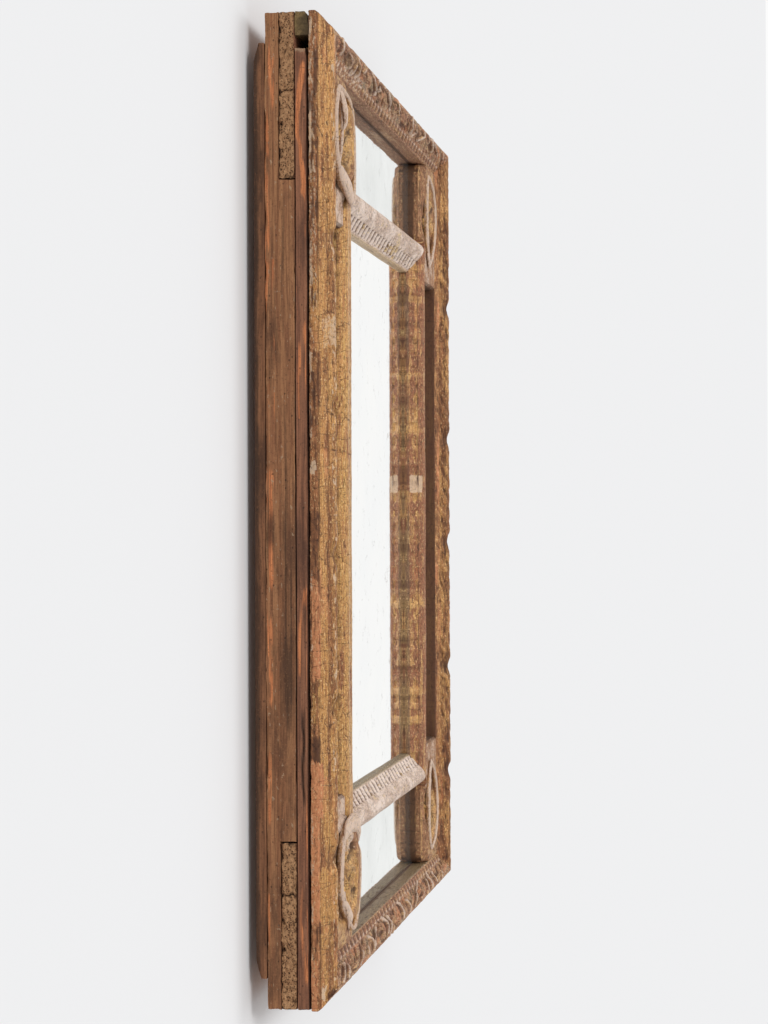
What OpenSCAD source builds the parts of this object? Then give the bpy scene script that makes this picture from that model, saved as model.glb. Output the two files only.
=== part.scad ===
// Carved and gilded wall mirror with five panes.
// A half-lapped softwood carcass carries laths, a mitred outer moulding, a mitred
// inner moulding and four carved corner scrolls. Vertical boards close the back, and
// two iron rings on staples hang the mirror.
// X runs to the right, Z up, and the front faces -Y. The origin is the middle of the
// back boards' rear face.

/* [Overall] */
// Height of the mirror
height = 1000; // [900:10:1150]
// Width of the mirror
width = 826; // [780:2:950]

/* [Carcass] */
// Thickness of the carcass boards
carcass_t = 31.5; // [28:0.5:36]
// Width of the two stiles
stile_w = 168; // [166:1:190]
// Width of the two rails
rail_w = 168; // [166:1:190]
// Thickness of the rail's tongue that laps in front of the stile
lap_t = 17; // [14:0.5:19]
// Radius of the oak pegs through the corner laps
peg_r = 4.75; // [4:0.25:6]

/* [Back] */
// Thickness of the back boards
back_t = 10.5; // [9.8:0.1:12]
// Number of vertical back boards, an odd count keeps one in the middle
board_count = 5; // [3, 5, 7]
// Gap between neighbouring back boards
board_gap = 0.8; // [0.4:0.1:1.5]
// Strip of carcass left bare above and below the boards
bare_strip = 31; // [30.5:0.5:40]
// Length of the bevel at the boards' ends
bevel_l = 18; // [10:1:24]
// Depth of that bevel
bevel_d = 5; // [3:0.5:7]

/* [Laths] */
// Thickness of the laths under the outer moulding
lath_t = 14; // [12:0.5:16]
// Width of the laths
lath_w = 24; // [20:1:26]
// Chamfer along the laths' outer front edge
lath_chamfer = 2.5; // [1.5:0.5:3.5]
// Length lost from the top end of the left lath
lath_loss = 12; // [2:1:20]

/* [Glass] */
// Thickness of the panes
glass_t = 3; // [2.5:0.1:4]
// Overlap of the outer moulding on the border panes
glass_cover = 16; // [8:1:18]
// Joint between the border panes and the centre pane, from the outer edge
glass_joint = 158; // [154:1:162]
// Width of that joint
joint_gap = 3; // [2.8:0.1:4]

/* [Outer moulding] */
// Width of the outer moulding
outer_w = 43; // [41:1:48]
// Height of the outer moulding above the laths
outer_h = 24; // [21:0.5:27]
// Width of the tongue that reaches down to the glass
tongue_w = 12; // [8:1:14]
// Distance between the lobes carved along the crest
lobe_pitch = 155; // [110:5:180]
// Depth of the notches between the lobes
notch_d = 3; // [1.5:0.5:4]
// Radius of the leaf ribs carved across the inner slope
rib_r = 2.2; // [1.6:0.1:2.4]
// Lean of the leaf ribs along the moulding, in degrees
rib_lean = 45; // [30:5:55]
// Distance between the two ribs of a pair
rib_gap = 12; // [9:0.5:16]

/* [Inner moulding] */
// Distance from the outer edge to the inner moulding
inner_off = 140; // [138:1:146]
// Width of the inner moulding
inner_w = 52; // [48:1:60]
// Height of the inner moulding above the carcass face
inner_h = 26; // [23:0.5:30]

/* [Flutes] */
// Distance from one flute to the next
flute_pitch = 18.4; // [14:0.2:24]
// Width of a flute at the surface
flute_w = 8; // [5:0.5:10]
// Depth of a flute
flute_d = 1.8; // [1:0.1:2.4]

/* [Corner scrolls] */
// Distance from the outer edge to the middle of an average scroll ring
ring_u = 106; // [100:1:112]
// How far all four rings sit to the right of the regular place
ring_shift = 6; // [0:1:8]
// Distance from the top or bottom edge to the middle of a scroll ring
ring_w = 117.5; // [112:0.5:124]
// Half width of the ring at the middle of its rope
ring_a = 43; // [38:1:46]
// Half height of the ring at the middle of its rope
ring_b = 55; // [50:1:60]
// Radius of the rounded ends of the ring
ring_end_r = 36; // [30:1:37]
// Radius of the carved rope
rope_r = 6; // [4.5:0.5:7]
// Height of the ground inside the ring
ground_h = 24; // [20:0.5:26]
// Distance from the top or bottom edge to the end of the corner block
block_end = 200; // [190:1:215]

/* [Hanging rings] */
// Distance of each hanging ring from the middle of the mirror
hanger_x = 200; // [120:5:280]
// Distance from the top edge to the staple's eye
hanger_drop = 9; // [8.8:0.1:9.4]
// Radius of the ring at the middle of its wire
hanger_r = 9; // [8:0.1:9.4]
// Radius of the ring's wire
hanger_wire_r = 1.5; // [1.3:0.05:1.6]
// Radius of the staple's wire
staple_wire_r = 1.25; // [1:0.05:1.4]
// Length of the staple's legs in the wood
staple_leg = 16; // [12:1:20]

/* [Nails and fits] */
// Radius of the back boards' nails
back_nail_r = 1.5; // [1.2:0.1:2]
// Radius of the back nails' heads
back_head_r = 3.5; // [3:0.1:4.5]
// Thickness of the back nails' heads
back_head_t = 1.4; // [1:0.1:2]
// Radius of the moulding nails
brad_r = 1.2; // [0.8:0.1:1.3]
// How deep nails reach into the carcass
nail_bite = 19; // [14:1:21]
// Clearance round nails and pegs in their holes
hole_gap = 0.05; // [0.02:0.01:0.1]
// Clearance between moving or loosely laid pieces
play = 0.4; // [0.3:0.05:0.5]

/* [Hidden] */
$fn = 48;
front0 = back_t + carcass_t;
wood_gap = 0.3;
crest = lath_t + outer_h;
lip_h = glass_t + wood_gap;
sides = ["left", "right", "top", "bottom"];
boards = [for (k = [1 : board_count]) str("back_board_", k)];

// Profiles are lists of [distance from the outer edge, height above the carcass face].
// The outer moulding's shape is drawn for a height of 24 and a width of 43.
su = outer_w / 43;
sh = outer_h / 24;
function op(u, h) = [u * su, lath_t + h * sh];
outer_profile = concat(
    [[0, lath_t], op(0, 7.3), op(1.4, 8.2), op(1.8, 9.6), op(4, 11.4), op(7, 14), op(10, 16.6)],
    [op(11, 16.9), op(13, 20), op(16, 22.8), op(19.5, 24), op(23, 23.4), op(27, 21.2)],
    [op(31, 18), op(33.6, 15), op(40.3, 7.5), op(41, 6.6), [outer_w, lath_t + 6 * sh]],
    [[outer_w, lip_h], [outer_w - tongue_w, lip_h], [outer_w - tongue_w, lath_t]]);
outer_flute = [op(33.6, 15), op(40.3, 7.5)];
rib_mid = op(24.5, 13);
rib_bend = 10 * min(su, sh);

// The inner moulding's shape is drawn for a height of 26 and a width of 52.
tu = inner_w / 52;
th = (inner_h - glass_t) / 23;
function ip(u, h) = [inner_off + u * tu, glass_t + (h - 3) * th];
inner_profile = [[inner_off, glass_t], ip(0, 12), ip(1.5, 18), ip(4.5, 22.3), ip(9, 24.9), ip(15, 26),
    ip(21, 26), ip(27, 24.8), ip(32.5, 22), ip(38.5, 17), ip(49.5, 10), ip(50, 8.8), ip(52, 8.2),
    [inner_off + inner_w, glass_t]];
inner_flute = [ip(38.5, 17), ip(49.5, 10)];
inner_edge = inner_off + inner_w;

glass_edge = outer_w - glass_cover;
border_end = glass_joint - joint_gap / 2;
centre_start = glass_joint + joint_gap / 2;
lap_rear_t = carcass_t - lap_t;
board_w = (width - (board_count - 1) * board_gap) / board_count;

// The block stops clear of the mouldings, and its foot stands between the panes.
block_in = outer_w + wood_gap;
block_out = inner_off - wood_gap;
foot_inset = 2;
foot_u = 114;
foot_w = 169;
pane_gap = 2;
block_round = 22;
tab_h = ground_h - 1.5;
block_bevel = 4;
tab_bevel = 1;

ring_side_r = (pow(ring_b - ring_end_r, 2) + pow(ring_a, 2) - pow(ring_end_r, 2))
    / (2 * (ring_a - ring_end_r));
ring_turn = atan2(ring_b - ring_end_r, ring_side_r - ring_a);
rope_h = ground_h + 1;
rope_end_r = rope_r - 0.5;
fillet_r = rope_r * 0.55;
eye_r = fillet_r * 1.6;
curl_r = ring_a * 0.62;
leaf_r = ring_a * 0.25;
leaf_rise = 3;
leaf_turn = 52;

ring_wire_y = -back_t + hanger_wire_r + play;
eye_reach = hanger_wire_r + play + staple_wire_r;
hanger_z = height / 2 - hanger_drop;

function along(length, count) = [for (k = [0 : count - 1]) length * (k + 0.5) / count];

// Places a piece that is drawn with x inward from the outer edge, -y forward from the
// carcass face and z along the edge.
module on_edge(side) {
    if (side == "left") translate([-width / 2, -front0, -height / 2]) children();
    if (side == "right") mirror([1, 0, 0]) translate([-width / 2, -front0, -height / 2]) children();
    if (side == "top") translate([-width / 2, -front0, height / 2]) rotate([0, 90, 0]) children();
    if (side == "bottom")
        mirror([0, 0, 1]) translate([-width / 2, -front0, height / 2]) rotate([0, 90, 0]) children();
}

function edge_length(side) = side == "left" || side == "right" ? height : width;

// A plain board on the edge, from u0 to u1 inward, z0 to z1 along, h0 to h1 forward
module slab(u0, u1, z0, z1, h0, h1) {
    translate([u0, -h1, z0]) cube([u1 - u0, h1 - h0, z1 - z0]);
}

// A pin that runs forward from h0 to h1 at the place [u, z] of an edge
module brad(u, z, h0, h1, r) {
    translate([u, -h0, z]) rotate([90, 0, 0]) cylinder(r = r, h = h1 - h0);
}

// Nails of the mouldings: places along each edge
function brads(side) = along(edge_length(side), side == "left" || side == "right" ? 5 : 4);
outer_brad_u = 8 * su;
outer_brad_top = lath_t + 11 * sh;
inner_brad_top = inner_h - 4 * th;
scroll_brad_top = ground_h - 5;
scroll_brad_w = [-22, 22];

module outer_brads(side, gap = 0) {
    for (z = brads(side)) brad(outer_brad_u, z, -nail_bite, outer_brad_top, brad_r + gap);
}

module inner_brads(side, gap = 0) {
    reach = edge_length(side) - 2 * glass_joint;
    for (z = along(reach, 4))
        brad(glass_joint, glass_joint + z, -nail_bite, inner_brad_top, brad_r + gap);
}

// Corner pieces are drawn for the top left corner: x inward, -z down, -y forward
corners = [["top", "left"], ["top", "right"], ["bottom", "left"], ["bottom", "right"]];
function is_right(corner) = corner[1] == "right";
function is_bottom(corner) = corner[0] == "bottom";
function ring_place(corner) = ring_u + (is_right(corner) ? -ring_shift : ring_shift);

module on_corner(corner) {
    mirror([is_right(corner) ? 1 : 0, 0, 0]) mirror([0, 0, is_bottom(corner) ? 1 : 0])
        translate([-width / 2, -front0, height / 2]) children();
}

module scroll_brads(corner, gap = 0) {
    for (w = scroll_brad_w)
        brad(ring_place(corner), -ring_w + w, -nail_bite, scroll_brad_top, brad_r + gap);
}

peg_places = [[stile_w * 0.3, rail_w * 0.3], [stile_w * 0.7, rail_w * 0.7]];
module lap_pegs(corner, gap = 0) {
    for (p = peg_places) brad(p[0], -p[1], -carcass_t, 0, peg_r + gap);
}

// Back nails stand at the boards' ends and along the outer boards
back_nail_in = 45;
nail_row_z = height / 2 - bare_strip - back_nail_in;
function board_x(k) = -width / 2 + (k - 1) * (board_w + board_gap);
end_nails = [for (k = [1 : board_count], e = [0.22, 0.78], s = [-1, 1])
    [board_x(k) + board_w * e, s * nail_row_z]];
side_nails = [for (s = [-1, 1], z = [-0.5, 0, 0.5]) [s * (width / 2 - back_nail_in), z * nail_row_z]];
back_nail_places = concat(end_nails, side_nails);

module back_nail(x, z, gap = 0) {
    reach = back_t + nail_bite;
    translate([x, 0, z]) rotate([90, 0, 0]) {
        cylinder(r = back_nail_r + gap, h = reach);
        cylinder(r = back_head_r + gap, h = back_head_t);
    }
}

module back_nail_holes() {
    for (p = back_nail_places) back_nail(p[0], p[1], hole_gap);
}

module all_brad_holes() {
    for (side = sides) on_edge(side) {
        outer_brads(side, hole_gap);
        inner_brads(side, hole_gap);
    }
    for (corner = corners) on_corner(corner) {
        scroll_brads(corner, hole_gap);
        lap_pegs(corner, hole_gap);
    }
}

// Staple with legs above and below the ring's wire. Its crown stands in the eye.
module staple(x, gap = 0) {
    r = staple_wire_r + gap;
    translate([x, 0, hanger_z]) {
        for (s = [-1, 1]) translate([0, ring_wire_y + eye_reach, s * eye_reach]) {
            rotate([90, 0, 0]) cylinder(r = r, h = back_t + ring_wire_y + eye_reach + staple_leg);
            sphere(r = r);
        }
        translate([0, ring_wire_y + eye_reach, -eye_reach]) cylinder(r = r, h = 2 * eye_reach);
    }
}

module carcass_stile(side) {
    color("#7a4f36") difference() {
        on_edge(side) difference() {
            slab(0, stile_w, 0, height, -carcass_t, 0);
            slab(-1, stile_w + 1, -1, rail_w, -lap_t, 1);
            slab(-1, stile_w + 1, height - rail_w, height + 1, -lap_t, 1);
        }
        back_nail_holes();
        all_brad_holes();
    }
}

module carcass_rail(side) {
    color("#80553a") difference() {
        on_edge(side) union() {
            slab(0, rail_w, 0, width, -lap_t, 0);
            slab(0, rail_w, stile_w, width - stile_w, -carcass_t, 0);
        }
        back_nail_holes();
        all_brad_holes();
        for (s = [-1, 1]) staple(s * hanger_x, hole_gap);
    }
}

module corner_pegs() {
    color("#9a7448") for (corner = corners) on_corner(corner) lap_pegs(corner);
}

// A back board with both ends bevelled on the rear face
module back_board(k) {
    z_end = height / 2 - bare_strip;
    color("#6b4630") difference() {
        translate([board_x(k), 0, 0]) rotate([90, 0, 90]) linear_extrude(board_w)
            polygon([[-back_t, -z_end], [-bevel_d, -z_end], [0, -z_end + bevel_l], [0, z_end - bevel_l],
                [-bevel_d, z_end], [-back_t, z_end]]);
        back_nail_holes();
    }
}

module back_nails() {
    color("#3c3836") for (p = back_nail_places) back_nail(p[0], p[1]);
}

module lath(side) {
    start = side == "left" ? 0 : side == "right" ? 0 : side == "top" ? 0 : lath_w + wood_gap;
    top_cut = lath_w + wood_gap + (side == "left" ? lath_loss : 0);
    end = side == "left" || side == "right" ? height - top_cut
        : side == "top" ? width : width - lath_w - wood_gap;
    color("#8a4a36") on_edge(side) difference() {
        translate([0, 0, start]) mirror([0, 1, 0]) linear_extrude(end - start)
            polygon([[0, 0], [0, lath_t - lath_chamfer], [lath_chamfer, lath_t], [lath_w, lath_t],
                [lath_w, 0]]);
        outer_brads(side, hole_gap);
    }
}

// A moulding with mitred ends and a row of flutes across its inner slope
module moulding(profile, flute, u0, u1, length, first) {
    difference() {
        intersection() {
            mirror([0, 1, 0]) linear_extrude(length) polygon(profile);
            rotate([90, 0, 0]) linear_extrude(crest + inner_h)
                polygon([[u0, u0], [u1, u1], [u1, length - u1], [u0, length - u0]]);
        }
        flutes(flute, length, first);
    }
}

module flutes(flute, length, first) {
    run = flute[1] - flute[0];
    slope = norm(run);
    cut_r = (pow(flute_w / 2, 2) + pow(flute_d, 2)) / (2 * flute_d);
    lift = cut_r - flute_d;
    start = flute[0] + [-run[1], run[0]] / slope * lift;
    count = floor((length - 2 * first - flute_w) / flute_pitch);
    for (k = [-(count - 1) / 2 : (count - 1) / 2])
        translate([start[0], -start[1], length / 2 + k * flute_pitch])
            rotate([0, 0, atan2(-run[1], run[0])]) rotate([0, 90, 0]) cylinder(r = cut_r, h = slope);
}

// Rounded notches part the lobes along the outer moulding's crest
module crest_notches(length) {
    notch_half = 9;
    r = (pow(notch_half, 2) + pow(notch_d, 2)) / (2 * notch_d);
    count = floor((length - 2 * outer_w) / lobe_pitch);
    for (k = [-count / 2 : count / 2])
        translate([8 * su, -(crest + r - notch_d), length / 2 + k * lobe_pitch])
            rotate([0, 90, 0]) cylinder(r = r, h = outer_w);
}

// One rib of a carved leaf: the top of a leaning ring that is sunk into the slope
module leaf_rib(z) {
    translate([rib_mid[0], -rib_mid[1], z]) rotate([0, rib_lean, 0]) rotate_extrude()
        translate([rib_bend - rib_r, 0]) circle(r = rib_r);
}

// Two pairs of ribs stand on each lobe
module leaf_ribs(length) {
    count = floor((length - 2 * outer_w) / lobe_pitch) * 2;
    for (k = [-(count - 1) / 2 : (count - 1) / 2], s = [-1, 1])
        leaf_rib(length / 2 + k * lobe_pitch / 2 + s * rib_gap / 2);
}

module outer_moulding(side) {
    length = edge_length(side);
    color("#a8763e") on_edge(side) difference() {
        union() {
            moulding(outer_profile, outer_flute, 0, outer_w, length, outer_w);
            leaf_ribs(length);
        }
        crest_notches(length);
        outer_brads(side, hole_gap);
    }
}

module inner_moulding(side) {
    length = edge_length(side);
    color("#b9987c") on_edge(side) difference() {
        moulding(inner_profile, inner_flute, inner_off, inner_edge, length, inner_edge);
        inner_brads(side, hole_gap);
    }
}

module outer_nails() {
    color("#3c3836") for (side = sides) on_edge(side) outer_brads(side);
}

module inner_nails() {
    color("#3c3836") for (side = sides) on_edge(side) inner_brads(side);
}

module scroll_nails() {
    color("#3c3836") for (corner = corners) on_corner(corner) scroll_brads(corner);
}

// One arc of rope, drawn in the plane of the mirror's face
module rope(centre, radius, from, turn, r) {
    translate([centre[0], -rope_h, centre[1]]) rotate([90, 0, 0]) rotate([0, 0, from])
        rotate_extrude(angle = turn) translate([radius, 0]) circle(r = r);
}

// Oval ring of four arcs in line with each other, a little thinner at its ends
module scroll_ring(u) {
    side_off = ring_side_r - ring_a;
    end_off = ring_b - ring_end_r;
    rope([u - side_off, -ring_w], ring_side_r, -ring_turn, 2 * ring_turn, rope_r);
    rope([u + side_off, -ring_w], ring_side_r, 180 - ring_turn, 2 * ring_turn, rope_r);
    rope([u, -ring_w + end_off], ring_end_r, ring_turn, 180 - 2 * ring_turn, rope_end_r);
    rope([u, -ring_w - end_off], ring_end_r, 180 + ring_turn, 180 - 2 * ring_turn, rope_end_r);
}

// Inner fillet of the scroll: it follows the ring on the outer side and ends in a
// round eye.
module scroll_curl(u) {
    rope([u, -ring_w], curl_r, 80, 180, fillet_r);
    translate([u - 1.5, -rope_h, -ring_w - curl_r + 2.5]) sphere(r = eye_r);
}

// Low leaf swellings on the ground inside the ring, a fan of three
module leaf_lobes(u) {
    for (turn = [-leaf_turn : leaf_turn : leaf_turn])
        translate([u + leaf_r * 1.7 * cos(turn), leaf_r - leaf_rise - ground_h,
            -ring_w + leaf_r * 1.7 * sin(turn)]) sphere(r = leaf_r);
}

// Cross section of a corner block that ends at the distance u1 from the outer edge,
// with its edge there broken by the bevel
module block_section(u1, h, bevel) {
    polygon([[block_in, glass_t], [block_in, h - 5], [block_in + 7, h], [u1 - 1.5 * bevel, h],
        [u1, h - bevel], [u1, glass_t]]);
}

module block_body(pane_side) {
    intersection() {
        union() {
            slab(block_in, pane_side - block_round, -block_out, -block_in, glass_t, crest);
            slab(pane_side - block_round - 1, pane_side, -block_out, -block_in - block_round, glass_t,
                crest);
            brad(pane_side - block_round, -block_in - block_round, glass_t, crest, block_round);
        }
        translate([0, 0, -block_out]) mirror([0, 1, 0]) linear_extrude(block_out)
            block_section(pane_side, ground_h, block_bevel);
    }
    translate([0, 0, -block_end]) mirror([0, 1, 0]) linear_extrude(block_end - block_out)
        block_section(block_out, tab_h, tab_bevel);
}

module corner_scroll(corner) {
    u = ring_place(corner);
    color("#b08a5c") on_corner(corner) difference() {
        union() {
            block_body(u + ring_a + rope_r / 2);
            slab(block_in + foot_inset, foot_u, -foot_w, -block_in - foot_inset, 0, glass_t);
            scroll_ring(u);
            scroll_curl(u);
            leaf_lobes(u);
        }
        slab(block_out, ring_u + ring_b + rope_r, -block_end, -block_out, -1, crest + rope_r);
        scroll_brads(corner, hole_gap);
    }
}

module pane(u0, u1, z0, z1) {
    translate([u0 - width / 2, -front0 - glass_t, z0 - height / 2]) cube([u1 - u0, glass_t, z1 - z0]);
}

module glass_centre() {
    color("#cfd6d8") pane(centre_start, width - centre_start, centre_start, height - centre_start);
}

module glass_row(side) {
    z0 = side == "top" ? height - border_end : glass_edge;
    color("#c6ced1") pane(foot_u + pane_gap, width - foot_u - pane_gap, z0, z0 + border_end - glass_edge);
}

module glass_column(side) {
    u0 = side == "right" ? width - border_end : glass_edge;
    color("#c6ced1") pane(u0, u0 + border_end - glass_edge, foot_w + pane_gap,
        height - foot_w - pane_gap);
}

module hanging_staple(side) {
    color("#45403c") staple((side == "left" ? -1 : 1) * hanger_x);
}

module hanging_ring(side) {
    color("#4c4640") translate([(side == "left" ? -1 : 1) * hanger_x, ring_wire_y, hanger_z - hanger_r])
        rotate([90, 0, 0]) rotate_extrude() translate([hanger_r, 0]) circle(r = hanger_wire_r);
}

carcass_stile("left");  // carcass_stile_left
carcass_stile("right");  // carcass_stile_right
carcass_rail("top");  // carcass_rail_top
carcass_rail("bottom");  // carcass_rail_bottom
corner_pegs();
back_board(1);  // back_board_1
back_board(2);  // back_board_2
back_board(3);  // back_board_3
back_board(4);  // back_board_4
back_board(5);  // back_board_5
back_nails();
lath("left");  // lath_left
lath("right");  // lath_right
lath("top");  // lath_top
lath("bottom");  // lath_bottom
glass_centre();
glass_row("top");  // glass_top
glass_row("bottom");  // glass_bottom
glass_column("left");  // glass_left
glass_column("right");  // glass_right
outer_moulding("left");  // outer_moulding_left
outer_moulding("right");  // outer_moulding_right
outer_moulding("top");  // outer_moulding_top
outer_moulding("bottom");  // outer_moulding_bottom
outer_nails();
inner_moulding("left");  // inner_moulding_left
inner_moulding("right");  // inner_moulding_right
inner_moulding("top");  // inner_moulding_top
inner_moulding("bottom");  // inner_moulding_bottom
inner_nails();
corner_scroll(corners[0]);  // corner_scroll_top_left
corner_scroll(corners[1]);  // corner_scroll_top_right
corner_scroll(corners[2]);  // corner_scroll_bottom_left
corner_scroll(corners[3]);  // corner_scroll_bottom_right
scroll_nails();
hanging_staple("left");  // staple_left
hanging_staple("right");  // staple_right
hanging_ring("left");  // hanging_ring_left
hanging_ring("right");  // hanging_ring_right
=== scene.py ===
"""An old carved and gilded wall mirror with border panes, seen almost edge on."""
import math
from types import SimpleNamespace

import bmesh
import bpy
import numpy as np
from mathutils import Matrix, Vector


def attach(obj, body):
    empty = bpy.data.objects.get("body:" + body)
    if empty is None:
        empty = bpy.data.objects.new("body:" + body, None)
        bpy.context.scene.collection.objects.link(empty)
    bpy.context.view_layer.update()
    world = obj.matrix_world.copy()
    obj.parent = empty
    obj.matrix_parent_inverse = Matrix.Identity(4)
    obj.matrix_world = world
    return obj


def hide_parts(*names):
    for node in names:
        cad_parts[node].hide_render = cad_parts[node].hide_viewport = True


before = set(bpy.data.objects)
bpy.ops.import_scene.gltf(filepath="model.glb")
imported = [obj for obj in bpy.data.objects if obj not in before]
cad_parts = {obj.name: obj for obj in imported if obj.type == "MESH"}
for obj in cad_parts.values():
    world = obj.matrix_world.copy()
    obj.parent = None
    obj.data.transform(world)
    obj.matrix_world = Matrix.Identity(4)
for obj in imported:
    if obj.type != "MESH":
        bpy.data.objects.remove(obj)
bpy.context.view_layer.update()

# Lengths are in millimetres until a mesh is finished. Node trees, and values whose comment
# says so, are in metres.
MM = 0.001
WIDE, TALL = 826.0, 1000.0
FRONT = 42.0  # from the wall to the front face of the carcass
LATH = 14.0  # thickness of the laths, on which the outer moulding lies
UPRIGHT = ("left", "right")
LEVEL = ("top", "bottom")
EDGES = UPRIGHT + LEVEL
CORNERS = ("top_left", "top_right", "bottom_left", "bottom_right")
# First seed of each kind of member. The members of a kind count up from it.
OUTER_SEED, INNER_SEED, STILE_SEED, RAIL_SEED, LATH_SEED = 11, 31, 61, 71, 81

# The camera that fits the frame's edges and corners in the photograph.
CAMERA_AT = (-2583.3, -512.9, -12.9)
CAMERA_TURN, CAMERA_TILT, CAMERA_ROLL = math.radians(80.0286), 0.004911, 0.003437
FOCAL_PIXELS, PHOTO_LONG_SIDE = 2220.0, 1024.0
SENSOR = 36.0
FAR_CLIP = 200.0  # metres


def look_at_mirror():
    """The camera stands left of the mirror and a little in front of its face."""
    turn, tilt, roll = CAMERA_TURN, CAMERA_TILT, CAMERA_ROLL
    forward = Vector((math.sin(turn) * math.cos(tilt), math.cos(turn) * math.cos(tilt), math.sin(tilt)))
    right = Vector((math.cos(turn), -math.sin(turn), 0.0))
    up = right.cross(forward)
    side = math.cos(roll) * right - math.sin(roll) * up
    top = math.sin(roll) * right + math.cos(roll) * up
    camera = bpy.data.objects.new("camera", bpy.data.cameras.new("camera"))
    bpy.context.scene.collection.objects.link(camera)
    turn_to = Matrix((side, top, -forward)).transposed().to_4x4()
    camera.matrix_world = Matrix.Translation(Vector(CAMERA_AT) * MM) @ turn_to
    camera.data.sensor_fit = "AUTO"
    camera.data.sensor_width = SENSOR
    camera.data.lens = SENSOR * FOCAL_PIXELS / PHOTO_LONG_SIDE
    camera.data.clip_end = FAR_CLIP
    bpy.context.scene.camera = camera


look_at_mirror()


# Wiring of node trees
def srgb(r, g, b):
    """Linear colour of a screen colour from 0 to 255."""
    def lin(c):
        c /= 255.0
        return c / 12.92 if c <= 0.04045 else ((c + 0.055) / 1.055) ** 2.4
    return (lin(r), lin(g), lin(b), 1.0)


class Nodes:
    """Short hand for wiring a node tree."""

    def __init__(self, tree):
        self.tree = tree
        self.tree.nodes.clear()

    def add(self, kind, **settings):
        node = self.tree.nodes.new(kind)
        inputs = settings.pop("inputs", {})
        for name, value in settings.items():
            setattr(node, name, value)
        for name, value in inputs.items():
            self.put(node.inputs[name], value)
        return node

    def put(self, socket, value):
        if isinstance(value, bpy.types.NodeSocket):
            self.tree.links.new(value, socket)
        else:
            socket.default_value = value

    def math(self, kind, a, b):
        return self.add("ShaderNodeMath", operation=kind, inputs={0: a, 1: b}).outputs[0]

    def plus(self, a, b):
        return self.math("ADD", a, b)

    def minus(self, a, b):
        return self.math("SUBTRACT", a, b)

    def times(self, a, b):
        return self.math("MULTIPLY", a, b)

    def most(self, a, b):
        return self.math("MAXIMUM", a, b)

    def swing(self, noise, amount):
        """A noise from 0 to 1, centred on zero and times amount."""
        return self.times(self.minus(noise, 0.5), amount)

    def mix(self, fac, a, b):
        """Colour a, covered with colour b where fac is 1."""
        node = self.add("ShaderNodeMix", data_type="RGBA")
        for socket, value in ((0, fac), (6, a), (7, b)):
            self.put(node.inputs[socket], value)
        return node.outputs[2]

    def span(self, value, low, high, to_low=0.0, to_high=1.0):
        """value from low to high becomes to_low to to_high, smoothly and clamped."""
        node = self.add("ShaderNodeMapRange", interpolation_type="SMOOTHSTEP", inputs={
            "Value": value, "From Min": low, "From Max": high, "To Min": to_low, "To Max": to_high})
        return node.outputs["Result"]

    def stretch(self, vector, scale, shift=(0.0, 0.0, 0.0)):
        node = self.add("ShaderNodeMapping", inputs={"Vector": vector, "Scale": scale, "Location": shift})
        return node.outputs["Vector"]

    def noise(self, vector, scale, detail, rough, distortion=0.0, shift=(0.0, 0.0, 0.0)):
        """Noise with one scale, or drawn out by a scale for each axis."""
        if isinstance(scale, tuple):
            vector, scale = self.stretch(vector, scale, shift), 1.0
        return self.add("ShaderNodeTexNoise", inputs={
            "Vector": vector, "Scale": scale, "Detail": detail, "Roughness": rough,
            "Distortion": distortion}).outputs["Fac"]

    def cells(self, vector, scale, feature="F1"):
        """Distance in a field of cells, drawn out by a scale for each axis."""
        return self.add("ShaderNodeTexVoronoi", feature=feature, inputs={
            "Vector": self.stretch(vector, scale), "Scale": 1.0}).outputs["Distance"]

    def place(self):
        return self.add("ShaderNodeTexCoord").outputs["Object"]

    def wear(self):
        """The red, green, blue and alpha of the wear, painted shade included, on a piece's vertices."""
        wear = self.add("ShaderNodeAttribute", attribute_name="wear")
        split = self.add("ShaderNodeSeparateColor", inputs={0: wear.outputs["Color"]})
        return split.outputs[0], split.outputs[1], split.outputs[2], wear.outputs["Alpha"]

    def surface(self, height, strength, depth, inputs):
        """A shader with these inputs and a bump, its depth in metres, as the material's surface."""
        bump = self.add("ShaderNodeBump", inputs={"Height": height, "Strength": strength, "Distance": depth})
        shader = self.add("ShaderNodeBsdfPrincipled", inputs={**inputs, "Normal": bump.outputs["Normal"]})
        self.add("ShaderNodeOutputMaterial", inputs={"Surface": shader.outputs[0]})


def new_group(name, inputs, outputs):
    """A node group with named sockets. Returns the group, its wiring and its two ends."""
    group = bpy.data.node_groups.new(name, "ShaderNodeTree")
    kinds = {"f": "NodeSocketFloat", "v": "NodeSocketVector", "c": "NodeSocketColor"}
    for label, kind in inputs:
        group.interface.new_socket(name=label, in_out="INPUT", socket_type=kinds[kind])
    for label, kind in outputs:
        group.interface.new_socket(name=label, in_out="OUTPUT", socket_type=kinds[kind])
    n = Nodes(group)
    source = n.add("NodeGroupInput")
    sink = n.add("NodeGroupOutput")
    return group, n, source.outputs, sink.inputs


def new_material(name):
    material = bpy.data.materials.new(name)
    material.use_nodes = True
    return material, Nodes(material.node_tree)


# Materials
BLACK = (0.0, 0.0, 0.0, 1.0)
SOOT_AND_SHADE = (0.01, 0.008, 0.006, 1.0)
WORM_HOLE = (0.012, 0.008, 0.006, 1.0)
# Places in metres, counted from the wall, between which a board's rear goes from lit to dark: painted shade
# near the wall.
REAR_LIT_AT, REAR_SHADED_AT = -0.0085, -0.0005


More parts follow.
